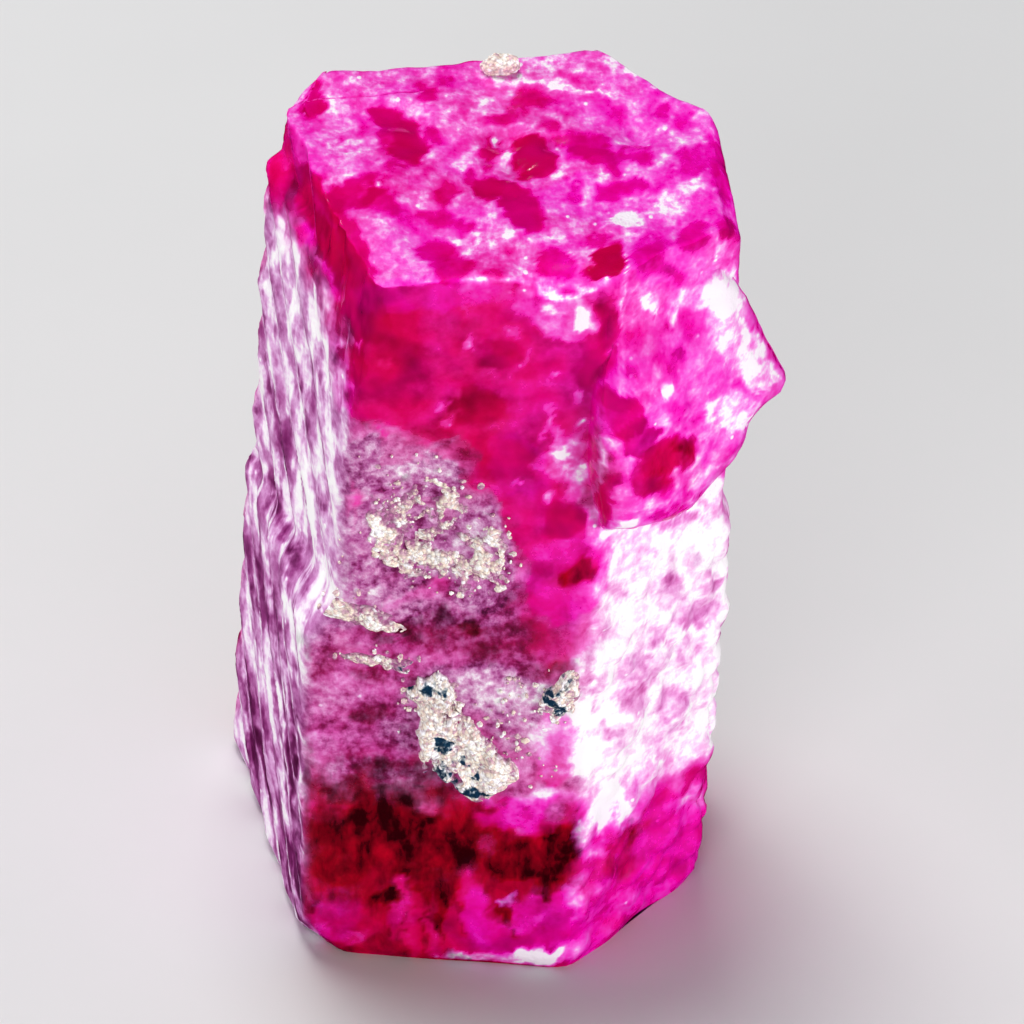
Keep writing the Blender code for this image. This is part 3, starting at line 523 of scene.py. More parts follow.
# Patches as the camera sees them: across, down, half width, half height, tilt in degrees, what they add.
frostAndHighlightPatches = (
    # clear windows in the flat end
    (314, 99, 8, 17, 14, -0.50), (386, 120, 17, 13, 0, -0.62), (381, 138, 8, 14, 0, -0.40),
    (407, 143, 19, 21, -25, -0.66), (425, 89, 11, 8, 0, -0.42), (447, 78, 12, 5, 0, -0.25),
    (437, 137, 9, 5, 0, -0.35), (350, 139, 9, 4, 0, -0.30), (361, 131, 5, 8, 0, -0.28),
    (392, 166, 5, 11, 0, -0.28), (355, 192, 30, 13, -16, -0.50), (383, 202, 22, 10, 20, -0.35),
    (443, 192, 12, 15, -30, -0.42), (466, 177, 7, 6, 0, -0.45), (489, 152, 12, 14, 0, -0.50),
    (499, 118, 17, 5, -14, -0.42), (529, 156, 21, 21, 0, -0.66), (486, 186, 17, 14, 0, -0.70),
    (509, 192, 13, 14, 0, -0.64), (525, 215, 17, 19, 0, -0.60), (528, 103, 19, 8, -6, -0.36),
    (548, 127, 14, 8, 0, -0.32), (585, 145, 24, 13, 4, -0.46), (607, 158, 42, 9, 2, -0.44),
    (624, 190, 30, 13, 4, -0.46), (571, 196, 9, 9, 0, -0.35), (598, 105, 26, 10, 8, -0.18),
    (596, 241, 15, 8, 10, -0.45), (609, 263, 20, 12, -30, -0.72), (556, 266, 22, 14, -10, -0.40),
    (431, 249, 18, 10, 18, -0.46), (440, 216, 22, 8, 24, -0.40), (464, 229, 8, 10, 0, -0.34),
    (651, 250, 12, 24, 28, -0.24), (690, 236, 13, 15, 0, -0.34), (723, 228, 11, 12, 0, -0.42),
    (714, 155, 9, 16, -15, -0.34), (690, 163, 16, 14, 0, -0.32), (722, 185, 9, 20, -10, -0.34),
    (664, 112, 10, 8, 0, -0.34), (686, 122, 10, 8, 0, -0.26), (494, 274, 10, 6, 0, -0.22),
    (660, 190, 5, 9, 0, -0.2), (546, 150, 5, 8, 0, -0.2),
    # white and pale places in the flat end
    (345, 147, 17, 14, 35, 0.12), (340, 105, 16, 9, 0, 0.10), (384, 84, 16, 10, 0, 0.12),
    (412, 112, 4, 13, 0, 0.20), (482, 100, 9, 4, 0, 0.26), (461, 164, 9, 4, 0, 0.15),
    (453, 112, 8, 4, -20, 0.22), (552, 168, 13, 10, 0, 0.14), (545, 238, 19, 9, 12, 0.20),
    (512, 236, 8, 8, 0, 0.25), (622, 220, 20, 9, 6, 0.34), (676, 204, 14, 9, 0, 0.14),
    (696, 184, 12, 8, 20, 0.16), (665, 128, 6, 4, 0, 0.25), (555, 86, 38, 5, -2, 0.26),
    (604, 88, 20, 4, 6, 0.30), (560, 64, 16, 8, 0, 0.22), (642, 76, 40, 5, 33, 0.26),
    (592, 70, 14, 7, 0, 0.18), (540, 72, 18, 8, 0, 0.10), (640, 200, 14, 5, 0, 0.20),
    (600, 168, 9, 6, 0, 0.26), (618, 162, 5, 4, 0, 0.30), (375, 185, 3.5, 4, 0, 0.75),
    # the two small strong white spots on the bubbles, at 492 and 509 across, are painted glints
    (362, 192, 4, 4, 0, 0.35), (492, 145, 5, 5, 0, 0.80), (509, 161, 5, 4, 0, 0.75),
    (479, 236, 4, 4, 0, 0.30), (500, 77, 4, 4, 0, 0.25), (391, 134, 2.5, 9, 35, 0.40),
    (480, 160, 3, 13, -35, 0.20), (722, 247, 12, 12, 0, 0.20),
    # the scar at the top left, and the dull end of the left shoulder
    (343, 252, 20, 88, -24, -0.46), (322, 215, 10, 50, -22, -0.2), (352, 330, 16, 50, -8, -0.40),
    (345, 380, 10, 30, -8, -0.2), (452, 268, 20, 13, 0, -0.42), (424, 228, 16, 7, 30, -0.20),
    (400, 207, 22, 6, 20, -0.16), (303, 190, 22, 26, 0, -0.24), (272, 190, 12, 26, 0, -0.20),
    # front, upper: pale places in the clear crimson; the small strong white spots among them are painted
    # glints
    (567, 317, 34, 24, -8, 0.42), (583, 315, 6, 10, 10, 0.50), (557, 305, 9, 6, 0, 0.30),
    (598, 292, 20, 8, 0, 0.22), (484, 292, 26, 14, 0, 0.20), (524, 300, 12, 18, -20, 0.26),
    (545, 292, 22, 12, 0, 0.10), (512, 330, 10, 12, 0, 0.14), (470, 306, 8, 8, 0, 0.20),
    (522, 357, 3.5, 18, 30, 0.28), (455, 290, 34, 16, 0, 0.05), (343, 341, 4, 3, 30, 0.50),
    (362, 340, 6, 5, 0, 0.50), (363, 348, 3, 7, 0, 0.40), (358, 362, 3, 3, 0, 0.45),
    (467, 341, 4, 5, 0, 0.55), (389, 363, 6, 6, 0, 0.22), (445, 407, 4, 3, 0, 0.55),
    (450, 419, 5, 5, 0, 0.45), (460, 416, 4, 3, 0, 0.45), (462, 397, 5, 2, -30, 0.35),
    (495, 373, 7, 6, 0, 0.14), (554, 372, 5, 4, 0, 0.62), (577, 397, 5, 6, 20, 0.55),
    (582, 420, 4, 4, 0, 0.55), (548, 421, 3, 7, -25, 0.60), (541, 433, 4, 5, 0, 0.40),
    (549, 408, 7, 4, 30, 0.36), (543, 382, 10, 8, 0, 0.12), (512, 415, 14, 40, 20, 0.06),
    (562, 448, 9, 22, -8, 0.46), (578, 446, 9, 16, 10, 0.38), (560, 470, 26, 16, 0, 0.34),
    (576, 482, 14, 14, 0, 0.32), (548, 497, 7, 6, 0, 0.55), (590, 512, 5, 12, 12, 0.34),
    (597, 532, 10, 14, 0, 0.26), (556, 545, 34, 12, 0, 0.16), (513, 489, 4, 3, 0, 0.34),
    (560, 528, 20, 8, 0, -0.05),
    # front, upper: the deepest red
    (385, 345, 40, 60, 0, -0.12), (480, 410, 34, 20, 0, -0.12), (500, 355, 22, 12, 0, -0.12),
    (590, 368, 18, 18, 0, -0.12), (565, 515, 20, 18, 10, -0.24), (608, 330, 13, 44, -6, -0.34),
    (500, 460, 40, 22, 0, -0.10), (596, 372, 14, 20, 20, -0.2), (626, 268, 2, 20, 0, 0.40),
    (624, 310, 2, 24, 2, 0.34), (614, 352, 3, 16, 24, 0.30), (640, 292, 14, 12, 0, 0.12),
    # side crystal: windows
    (616, 400, 14, 12, 0, -0.44), (622, 420, 18, 24, -30, -0.46), (640, 440, 17, 20, -35, -0.46),
    (668, 458, 24, 16, -20, -0.50), (650, 478, 24, 14, 20, -0.46), (684, 446, 17, 9, 14, -0.40),
    # the narrow one at 610 across, along the side crystal's left edge, is painted shadow
    (668, 490, 18, 8, 0, -0.28), (610, 480, 7, 34, -4, -0.44), (608, 508, 8, 18, 0, -0.40),
    (673, 355, 14, 14, 0, -0.26), (686, 330, 10, 12, 0, -0.14), (640, 340, 12, 10, 0, -0.14),
    (632, 372, 8, 6, 0, -0.26), (612, 372, 10, 6, 0, -0.14), (678, 417, 10, 12, 0, -0.16),
    (680, 511, 24, 5, 28, -0.40), (662, 520, 14, 4, 4, -0.42), (700, 497, 16, 4, 42, -0.30),
    (640, 395, 12, 8, 0, -0.2), (775, 352, 5, 26, -32, -0.40), (690, 280, 8, 6, 0, -0.20),
    (668, 272, 14, 6, 35, -0.30),
    # side crystal: pale places
    (735, 335, 22, 42, -30, 0.28), (760, 378, 16, 14, 0, 0.34), (722, 285, 22, 12, 0, 0.26),
    (703, 297, 34, 12, 20, 0.14), (668, 387, 9, 9, 0, 0.38), (709, 412, 8, 10, 0, 0.36),
    (735, 410, 18, 20, 0, 0.24), (668, 316, 5, 5, 0, 0.50), (655, 308, 16, 4, 35, 0.30),
    (606, 425, 4, 20, -10, 0.34), (599, 455, 4, 24, 4, 0.26), (609, 526, 8, 7, 0, 0.46),
    (628, 522, 9, 6, -12, 0.46), (660, 505, 20, 7, 0, 0.20), (678, 490, 7, 6, 0, 0.32),
    (672, 484, 5, 4, 0, 0.36), (630, 432, 6, 3, 0, 0.22), (612, 466, 8, 4, -30, 0.26),
    (632, 470, 10, 5, 0, 0.20), (700, 466, 20, 20, 0, 0.14), (624, 368, 5, 4, 0, 0.40),
    (620, 390, 14, 4, 0, 0.26), (646, 300, 18, 10, 20, 0.06),
    # front, middle: the pale skin round the crust, then dark spots and bands
    (400, 455, 62, 26, 10, 0.22), (430, 515, 84, 56, 20, 0.16), (362, 540, 26, 60, 0, 0.14),
    (480, 560, 44, 40, 0, 0.14), (365, 600, 50, 18, 8, 0.20), (505, 700, 50, 26, 0, 0.14),
    (562, 742, 34, 46, 0, 0.24), (585, 745, 16, 30, 10, 0.2), (578, 690, 12, 34, 0, 0.34),
    (577, 571, 19, 11, -12, -0.34), (470, 630, 14, 11, 0, -0.16), (405, 626, 14, 7, 0, -0.12),
    (508, 604, 34, 10, 0, -0.10), (540, 640, 36, 16, 0, -0.10), (505, 655, 26, 10, 0, -0.10),
    (532, 668, 30, 8, 0, -0.10), (385, 640, 40, 8, 5, -0.08), (560, 600, 24, 20, 0, 0.02),
    (575, 632, 10, 26, 0, 0.04), (472, 634, 74, 22, 2, -0.11), (416, 600, 24, 11, 0, 0.14),
    # front, below the ledge
    (322, 662, 14, 12, 20, -0.12), (335, 680, 20, 6, -10, 0.06), (370, 672, 26, 6, 0, -0.14),
    (372, 712, 22, 10, -18, -0.22), (335, 732, 26, 8, 0, -0.12), (340, 695, 26, 10, 0, 0.14),
    (327, 705, 14, 12, 0, 0.14), (335, 772, 12, 10, 0, 0.16), (322, 745, 8, 8, 0, 0.14),
    (380, 760, 40, 20, 0, -0.10), (500, 690, 60, 16, 0, 0.20), (520, 745, 26, 36, -10, 0.12),
    (548, 745, 14, 26, 10, 0.10), (570, 720, 8, 30, 10, 0.16), (535, 765, 8, 8, 0, -0.26),
    (478, 800, 22, 8, 0, 0.10),
    # foot, front: dark veins and bright red streaks
    (400, 893, 10, 16, 0, 0.12), (396, 912, 7, 14, 0, 0.12), (407, 930, 9, 22, 0, 0.09),
    (430, 930, 6, 26, 6, 0.12), (345, 808, 14, 6, 30, 0.04), (417, 812, 8, 4, -30, 0.06),
    (449, 815, 6, 6, 0, 0.14), (374, 795, 5, 4, 0, 0.26), (480, 905, 14, 34, -12, 0.10),
    (488, 925, 12, 16, 0, 0.10), (470, 865, 14, 8, -30, 0.12), (443, 878, 6, 10, -20, 0.07),
    # the strong white spot at 511 across, 898 down, is a painted glint
    (511, 898, 10, 5, 8, 0.75), (317, 930, 8, 8, 0, 0.26), (350, 937, 20, 7, 10, 0.26),
    (335, 900, 26, 20, 0, 0.08), (522, 922, 18, 10, 0, 0.18), (505, 812, 20, 12, -10, 0.18),
    (530, 808, 30, 16, -10, 0.22), (520, 828, 12, 8, 0, 0.22), (545, 795, 30, 8, 0, 0.28),
    (490, 842, 10, 12, 0, 0.16), (575, 900, 12, 22, -16, 0.18), (550, 905, 26, 16, 0, 0.12),
    (480, 958, 60, 5, -6, 0.55), (535, 952, 24, 9, 0, 0.75), (560, 950, 26, 10, -20, 0.34),
    (450, 958, 20, 4, 0, 0.30),
    # foot, right
    (612, 812, 14, 24, 14, 0.36), (608, 822, 7, 6, 0, 0.30), (592, 835, 20, 24, 10, 0.30),
    (600, 855, 14, 10, 0, 0.2), (598, 838, 7, 12, 0, -0.22), (582, 798, 20, 8, 10, -0.10),
    (560, 842, 18, 20, 0, -0.10), (694, 800, 10, 14, 0, 0.30), (622, 905, 14, 14, 20, 0.20),
    (585, 885, 14, 6, 30, 0.14), (575, 905, 8, 12, -10, 0.22), (668, 850, 26, 34, 0, -0.05),
    (625, 860, 14, 30, 14, -0.12), (672, 770, 34, 12, 0, -0.12), (660, 790, 30, 14, 0, -0.12),
    (600, 790, 30, 8, -8, -0.04),
    # right front face, below the side crystal: pink places in the white, which is partly whitish skin and
    # partly painted highlight
    (612, 592, 14, 8, 0, -0.24), (612, 612, 12, 6, 0, -0.10), (606, 630, 12, 10, 0, -0.20),
    (640, 640, 16, 9, 0, -0.14), (655, 625, 8, 10, 0, -0.26), (660, 638, 10, 6, 0, -0.30),
    (640, 672, 26, 18, 0, -0.26), (632, 700, 18, 16, 0, -0.30), (664, 590, 20, 16, 0, -0.22),
    (672, 578, 6, 12, 0, -0.20), (696, 612, 24, 16, -20, -0.28), (690, 622, 12, 8, 0, -0.16),
    (700, 565, 16, 12, 0, -0.20), (710, 582, 10, 8, 0, -0.36), (690, 655, 12, 20, 20, -0.20),
    (672, 708, 16, 20, 20, -0.28), (640, 560, 16, 14, 0, -0.10), (600, 570, 8, 16, 0, -0.20),
    (596, 680, 12, 8, 0, -0.16), (590, 733, 16, 10, 0, -0.26), (610, 730, 24, 5, -6, -0.16),
    (660, 735, 20, 10, -30, -0.10), (660, 530, 20, 6, 0, -0.06), (600, 552, 12, 14, 0, -0.16),
    # left face: mauve hollows, darker as painted shade, between the white streaks, which are partly whitish
    # skin and partly painted highlight
    (262, 300, 5, 60, 4, -0.20), (280, 420, 6, 60, -8, -0.24), (306, 410, 5, 34, -6, -0.20),
    (318, 300, 4, 60, -4, -0.26), (300, 250, 4, 40, 0, 0.10), (293, 340, 7, 60, -6, 0.12),
    (305, 470, 8, 60, -8, 0.16), (325, 540, 9, 34, 0, 0.22), (250, 420, 6, 50, 0, -0.16),
    (285, 520, 6, 50, -16, -0.34), (262, 590, 9, 50, -18, -0.22), (262, 640, 6, 60, -14, 0.10),
    (298, 640, 8, 40, -20, 0.14), (252, 700, 7, 60, -6, -0.20), (268, 770, 12, 50, -16, -0.26),
    (298, 760, 4, 60, -3, 0.18), (290, 760, 4, 60, -8, -0.34), (296, 720, 4, 34, -6, -0.42),
    (296, 880, 10, 60, -12, -0.26),
)

# More magenta than red, or less.
pinkPatches = (
    (322, 240, 15, 60, -14, 0.6), (430, 292, 70, 16, 0, 0.6), (342, 380, 12, 46, -6, 0.6),
    (652, 250, 26, 30, 0, 0.8), (700, 170, 50, 60, 0, 0.5), (600, 200, 60, 24, 0, 0.6),
    (520, 470, 30, 30, 0, 0.5), (440, 320, 20, 40, 0, 0.2), (385, 303, 26, 14, 0, 0.5),
    (460, 620, 120, 60, 0, 0.5), (360, 720, 60, 60, 0, 0.6), (330, 915, 30, 24, 0, 0.8),
    (520, 915, 60, 40, 0, 0.8), (670, 850, 40, 50, 0, 0.7), (530, 810, 60, 20, 0, 0.8),
    (390, 350, 30, 30, 0, -0.2), (480, 420, 34, 30, 0, -0.4), (609, 263, 24, 14, -20, -0.8),
    (530, 155, 24, 24, 0, -0.3), (668, 465, 30, 24, 0, -0.4), (520, 340, 30, 20, 0, -0.3),
)

# Straight-edged places: what each adds to the frost, and its corners in the camera's frame. The first is
# even all over.
frostFacets = (
    (0.05, ((341, 223), (364, 216), (416, 250), (434, 272), (386, 281))),
    (-0.42, ((583, 272), (600, 252), (626, 243), (625, 270), (604, 276))),
    (-0.20, ((630, 262), (668, 234), (676, 240), (656, 268), (640, 290), (631, 288))),
    (-0.08, ((664, 228), (700, 206), (716, 212), (690, 246), (672, 250))),
    (0.10, ((640, 300), (690, 268), (734, 262), (740, 300), (700, 312))),
)

# Rock dust in the skin.
stainPatches = (
    (345, 455, 34, 40, 0, 0.40), (400, 470, 60, 30, 10, 0.55), (430, 520, 78, 56, 20, 0.60),
    (385, 550, 58, 46, 0, 0.45), (480, 560, 46, 46, 0, 0.40), (345, 600, 40, 30, 0, 0.40),
    (455, 460, 30, 20, 30, 0.30), (420, 430, 50, 12, 8, 0.35), (450, 612, 60, 14, 0, 0.20),
    (480, 690, 70, 22, 0, 0.30), (515, 715, 34, 40, 0, 0.20), (556, 750, 22, 40, 0, -0.35),
    (345, 640, 40, 10, 0, 0.10), (420, 720, 40, 30, 0, 0.20), (350, 330, 30, 90, 0, -0.30),
    (560, 560, 50, 60, 0, -0.35), (560, 620, 40, 50, 0, -0.30), (460, 380, 120, 60, 0, -0.30),
    (500, 480, 30, 20, 0, -0.25), (335, 500, 12, 60, 0, 0.30), (690, 545, 20, 20, 0, 0.10),
    (710, 560, 14, 14, 0, 0.30), (600, 460, 6, 30, 0, 0.40), (610, 465, 8, 10, 0, 0.20),
    (590, 500, 10, 20, 0, 0.20), (460, 785, 30, 10, 10, 0.30), (400, 780, 30, 14, 0, 0.10),
    (525, 808, 36, 16, 0, -0.30), (520, 75, 30, 10, 0, 0.10), (362, 772, 46, 16, 0, 0.10),
)

# Painted shade: depth without light, and a painted shadow along the side crystal's left edge.
darkPatches = (
    (352, 774, 50, 24, 0, 0.16), (415, 772, 26, 16, 0, 0.14), (430, 625, 60, 14, 0, 0.10),
    (482, 636, 72, 22, 2, 0.17), (480, 600, 34, 12, 0, 0.08), (510, 470, 34, 24, 0, 0.20),
    (670, 460, 22, 14, -20, 0.26), (650, 480, 20, 12, 20, 0.22), (684, 446, 14, 8, 0, 0.2),
    (382, 812, 34, 26, 0, 0.20), (384, 814, 22, 15, 0, 0.20), (378, 806, 9, 8, 0, 0.20),
    (405, 828, 34, 10, -24, 0.30), (418, 857, 28, 16, -10, 0.20), (416, 856, 14, 8, 0, 0.40),
    (404, 838, 16, 6, 0, 0.3), (340, 790, 26, 10, -14, 0.40), (405, 795, 40, 12, 0, 0.35),
    (460, 845, 26, 20, 0, 0.16), (382, 899, 13, 8, -20, 0.45), (418, 898, 7, 10, 0, 0.30),
    (410, 873, 14, 5, 0, 0.40), (350, 821, 12, 5, 0, 0.25), (528, 862, 34, 22, 0, 0.30),
    (560, 835, 22, 18, 30, 0.36), (572, 812, 12, 12, 20, 0.45), (545, 885, 12, 8, 0, 0.30),
    (335, 850, 34, 36, 0, 0.12), (440, 912, 10, 22, 0, 0.30), (504, 912, 10, 8, 0, 0.30),
    (398, 905, 9, 34, 4, -0.40), (414, 925, 7, 36, 4, -0.40), (475, 905, 13, 40, -8, -0.50),
    (433, 930, 7, 34, 4, -0.40), (455, 925, 7, 30, -6, -0.30), (340, 925, 40, 20, 0, -0.25),
    (497, 930, 12, 24, -8, -0.40), (530, 918, 16, 20, -20, -0.45), (540, 815, 44, 20, -6, -0.50),
    (500, 815, 26, 12, 0, -0.50), (565, 920, 26, 24, -30, -0.50), (520, 948, 80, 12, 0, -0.50),
    (622, 850, 10, 34, 16, 0.22), (640, 820, 6, 24, 28, 0.30), (560, 575, 10, 6, 0, 0.20),
    (577, 571, 18, 10, -12, 0.40), (470, 630, 13, 10, 0, 0.40), (402, 626, 11, 7, 0, 0.45),
    (425, 616, 12, 4, -10, 0.35), (445, 612, 10, 5, 0, 0.20), (380, 642, 18, 5, 12, 0.35),
    (490, 660, 14, 12, 0, 0.22), (535, 668, 20, 8, 0, 0.22), (370, 713, 18, 8, -20, 0.32),
    (365, 675, 20, 6, 0, 0.22), (395, 768, 40, 12, 0, 0.25), (305, 650, 6, 18, -16, 0.30),
    (400, 478, 16, 5, -32, 0.32), (372, 510, 5, 22, -12, 0.30), (350, 560, 7, 24, -14, 0.20),
    # the narrow one at 606 across is the painted shadow along the side crystal's left edge
    (368, 431, 9, 7, 0, 0.30), (565, 512, 16, 12, 0, 0.10), (606, 480, 6, 34, -3, 0.14),
    (325, 235, 9, 60, -22, 0.34), (380, 350, 26, 40, 0, 0.08), (480, 412, 30, 16, 0, 0.10),
    (560, 668, 22, 6, -10, 0.25), (510, 600, 20, 6, 0, 0.15), (296, 720, 4, 34, -6, 0.25),
    (307, 780, 4, 60, 0, 0.20),
)


def sideShares(points):
    # How much each point belongs to each of the seven sides: the side whose plane it stands furthest out
    # of has it, softened over the edge's width. Points in the axes of the sizes.
    ledgeHeight, ledgeRun = skinTone["ledge"]
    lower = smooth((ledgeHeight - points[:, 2]) / ledgeRun)[:, None]
    place = np.empty((7, len(points)))
    for side in range(7):
        ends = []
        for station in (side, (side + 1) % 7):
            at = np.full(len(points), float(station))
            ends.append(blockOutline("lower", at, points[:, 2]) * lower
                        + blockOutline("upper", at, points[:, 2]) * (1.0 - lower))
        run = ends[1] - ends[0]
        normal = np.stack((run[:, 1], -run[:, 0]), axis=1) / np.linalg.norm(run, axis=1)[:, None]
        place[side] = np.sum((points[:, :2] - ends[0]) * normal, axis=1)
    soft = np.exp((place - place.max(axis=0)) / skinTone["edge"])
    return soft / soft.sum(axis=0), place


def patched(value, view, patches, facing):
    # Adds each patch: an ellipse in the camera's frame, with a rim that is crisp where it is strong and
    # fades over half the patch where it is weak.
    for across, down, wide, high, tilt, amount in patches:
        turn = math.radians(tilt)
        dx, dy = view[:, 0] - across, view[:, 1] - down
        away = np.hypot((dx * math.cos(turn) + dy * math.sin(turn)) / wide,
                        (dy * math.cos(turn) - dx * math.sin(turn)) / high)
        soft = max(0.60 - 1.2 * abs(amount), 5.0 / min(wide, high), 0.12)
        value += amount * smooth((1.0 + soft / 2.0 - away) / soft) * facing
    return value


def facetted(value, view, facets, facing):
    # Adds each facet: inside a convex outline in the camera's frame, given clockwise as it is seen.
    for amount, corners in facets:
        ring = np.array(corners, float)
        run = np.roll(ring, -1, axis=0) - ring
        inwards = np.stack((-run[:, 1], run[:, 0]), axis=1) / np.linalg.norm(run, axis=1)[:, None]
        inside = np.min(view @ inwards.T - np.sum(ring * inwards, axis=1), axis=1)
        value += amount * smooth(0.5 + inside / 4.0) * facing
    return value


def storeTones(piece, tones):
    # Keeps each named value at the points of the mesh, where the materials read it.
    for name, value in tones.items():
        layer = piece.data.attributes.new(name, "FLOAT", "POINT")
        layer.data.foreach_set("value", value.astype(np.float32))


def paintSkin(piece):
    # Works out what the ruby's material reads at every point: frost, whose white is in places painted
    # highlight and glints, stain and dark from the tables and the patches, more magenta or red, and how
    # much a point belongs to the left face and the flat end.
    count = len(piece.data.vertices)
    points, normals = np.empty(count * 3, np.float32), np.empty(count * 3, np.float32)
    piece.data.vertices.foreach_get("co", points)
    piece.data.vertex_normals.foreach_get("vector", normals)
    points, normals = points.reshape(-1, 3).astype(float) / mm, normals.reshape(-1, 3).astype(float)
    own = points - np.array((*prism["place"], 0.0))
    shares, place = sideShares(own)
    (endHeight, endRun), (footHeight, footRun) = skinTone["flatEnd"], skinTone["sideFoot"]
    top = smooth((normals[:, 2] - 0.45) / 0.3) * smooth((own[:, 2] - endHeight) / endRun)
    grown = smooth((place[1] - 0.30) / 0.12) * smooth((own[:, 2] - footHeight) / footRun)
    warp = np.stack([clouds(own, 0.9, seed) for seed in (51, 55, 59)], axis=1)
    tones = {}
    for tone in ("frostAndHighlight", "stain", "dark"):
        height = own[:, 2] + skinTone["sway"] * warp[:, 2]
        value = sum(shares[side] * along(skinTone[tone][side], height) for side in range(7))
        flat = {"frostAndHighlight": skinTone["topFrost"]}.get(tone, 0.0)
        bud = {"frostAndHighlight": skinTone["sideFrost"]}.get(tone, 0.0)
        value = value * (1.0 - top) + flat * top
        tones[tone] = value * (1.0 - grown) + bud * grown
    # Faces that the camera doesn't see have windows of their own, from clouds.
    facing = smooth((normals @ viewAxes()[2] - 0.05) / 0.12)
    hidden = 1.0 - facing
    window = smooth((clouds(own, 2.2, 63) - 0.35) / 0.18)
    tones["frostAndHighlight"] += hidden * (0.30 * clouds(own, 1.6, 66) - 0.40 * window)
    tones["stain"] += hidden * 0.25 * clouds(own, 2.8, 69)
    tones["dark"] += hidden * 0.35 * clouds(own, 2.0, 72) * (tones["dark"] > 0.02)
    tremble = np.stack([clouds(own, 0.30, seed) for seed in (75, 78)], axis=1)
    view = inView(points) + skinTone["viewSway"] * warp[:, :2] + skinTone["viewTremble"] * tremble
    tones["frostAndHighlight"] = patched(tones["frostAndHighlight"], view, frostAndHighlightPatches, facing)
    tones["frostAndHighlight"] = facetted(tones["frostAndHighlight"], view, frostFacets, facing)
    tones["even"] = facetted(np.zeros(count), view, ((1.0, frostFacets[0][1]),), facing)
    tones["stain"] = patched(tones["stain"], view, stainPatches, facing)
    tones["dark"] = np.minimum(patched(tones["dark"], view, darkPatches, facing), skinTone["darkest"])
    tones["pink"] = patched(0.55 * smooth((own[:, 0] + 1.0) / 6.0), view, pinkPatches, facing)
    # The left face, and a coordinate across its streaks, which lean back more the lower they are.
    y, z = own[:, 1], own[:, 2]
    headHeight, headRun = skinTone["leftHead"]
    tones["left"] = shares[6] * smooth((headHeight - z) / headRun)
    tones["lilac"] = np.clip(shares[6] + 0.65 * (shares[1] + shares[2]), 0.0, 1.0)
    tones["slant"] = y - 0.95 * z + 0.016 * z ** 2 + 0.3 * cloud(own, 2.6, 11)
    tones["top"] = top
    storeTones(piece, tones)
    print("tones painted on", count, "points")


# The host rock left on the crystal: crusts on the front, each with loose grains round it, and a crumb.
hostRock = {
    "gap": -0.05, "sunk": 0.16, "ragged": 0.20,
    "lump": 0.42, "lumpHeight": 0.07, "grain": 0.14, "grainHeight": 0.055, "dust": 0.08,
    "shake": 8.0,   # px by which the worn and the green places are torn
    # name, node, x, z, half length, half width, tilt in degrees, flare, thickness, seed, sectors, rings
    "crusts": (("crust_upper", "matrix_upper", -2.00, 15.75, 2.20, 1.75, -36.0, 0.0, 0.15, 1.7, 320, 64),
               ("crust_ledge", "matrix_ledge", -4.35, 12.95, 1.10, 0.36, -22.0, 0.0, 0.20, 3.4, 170, 24),
               ("crust_rim", "matrix_rim", -3.60, 11.38, 1.00, 0.30, -8.0, 0.0, 0.18, 5.1, 170, 20),
               ("crust_lower", "matrix_lower", -1.58, 8.80, 2.45, 1.20, -63.0, 0.42, 0.34, 6.8, 300, 54),
               ("crust_corner", "matrix_corner", 1.50, 10.35, 0.95, 0.52, 62.0, 0.0, 0.24, 8.5, 160, 28)),
    "borderLift": 0.02, "thinUnder": 0.20,
    "paler": {"matrix_lower": 0.22, "matrix_corner": 0.16},
    "crumb": ((-0.95, 4.05, 25.06), (0.60, 0.30, 0.34)),   # middle and half sizes
    "crumbBall": (34, 64), "speckBall": (5, 8),   # rings and sectors
    "speckSize": (0.030, 0.095), "speckCount": 15000, "speckChance": 0.13,
    "speckStations": (-0.35, 1.0), "speckHeights": (5.0, 19.0),
}

# Patches like those above. They say where the upper crust is left, the rest of it being worn down to the
# crystal, where the other crusts are hollow, where grains lie loose, and where the rock is blue-green,
# which along the lower crust's lower rim is a painted shadow under the crust.
keptCrust = (
    (392, 512, 13, 24, 10, 1.0), (408, 486, 10, 9, 0, 0.9), (369, 493, 7, 8, 0, 0.8),
    (440, 473, 6, 17, -15, 1.0), (450, 492, 4, 14, -25, 0.7), (446, 503, 12, 5, 0, 0.9),
    (438, 520, 7, 16, 12, 1.0), (428, 512, 4, 14, -20, 0.8), (428, 531, 10, 6, 0, 0.9),
    (466, 536, 9, 5, 0, 0.8), (473, 490, 9, 7, 20, 0.8), (496, 533, 11, 12, 0, 0.9),
    (504, 556, 6, 18, 0, 0.8), (462, 574, 8, 17, 0, 1.0), (482, 565, 14, 12, -20, 0.8),
    (425, 573, 22, 11, 0, 0.9), (398, 562, 14, 10, 20, 0.7), (418, 545, 12, 7, 0, 0.6),
    (500, 590, 10, 6, 40, 0.8), (375, 525, 5, 24, -20, 0.7), (445, 558, 26, 8, 0, 0.6),
    (410, 590, 26, 8, 0, 0.4), (388, 540, 14, 12, 0, 0.7),
)
crustHollows = (
    (405, 752, 17, 26, -20, 1.3), (424, 768, 12, 12, 0, 0.7), (500, 812, 22, 10, 0, 1.3),
    (505, 700, 20, 12, 30, 0.9), (482, 716, 13, 18, -35, 1.1), (497, 742, 7, 14, -20, 0.9),
    (462, 700, 9, 5, 0, 0.8), (436, 760, 6, 12, 0, 0.7), (410, 720, 8, 20, -20, 0.9),
    (446, 712, 6, 5, 0, 0.5), (458, 775, 5, 5, 0, 0.5), (545, 680, 8, 5, 0, 0.6),
)
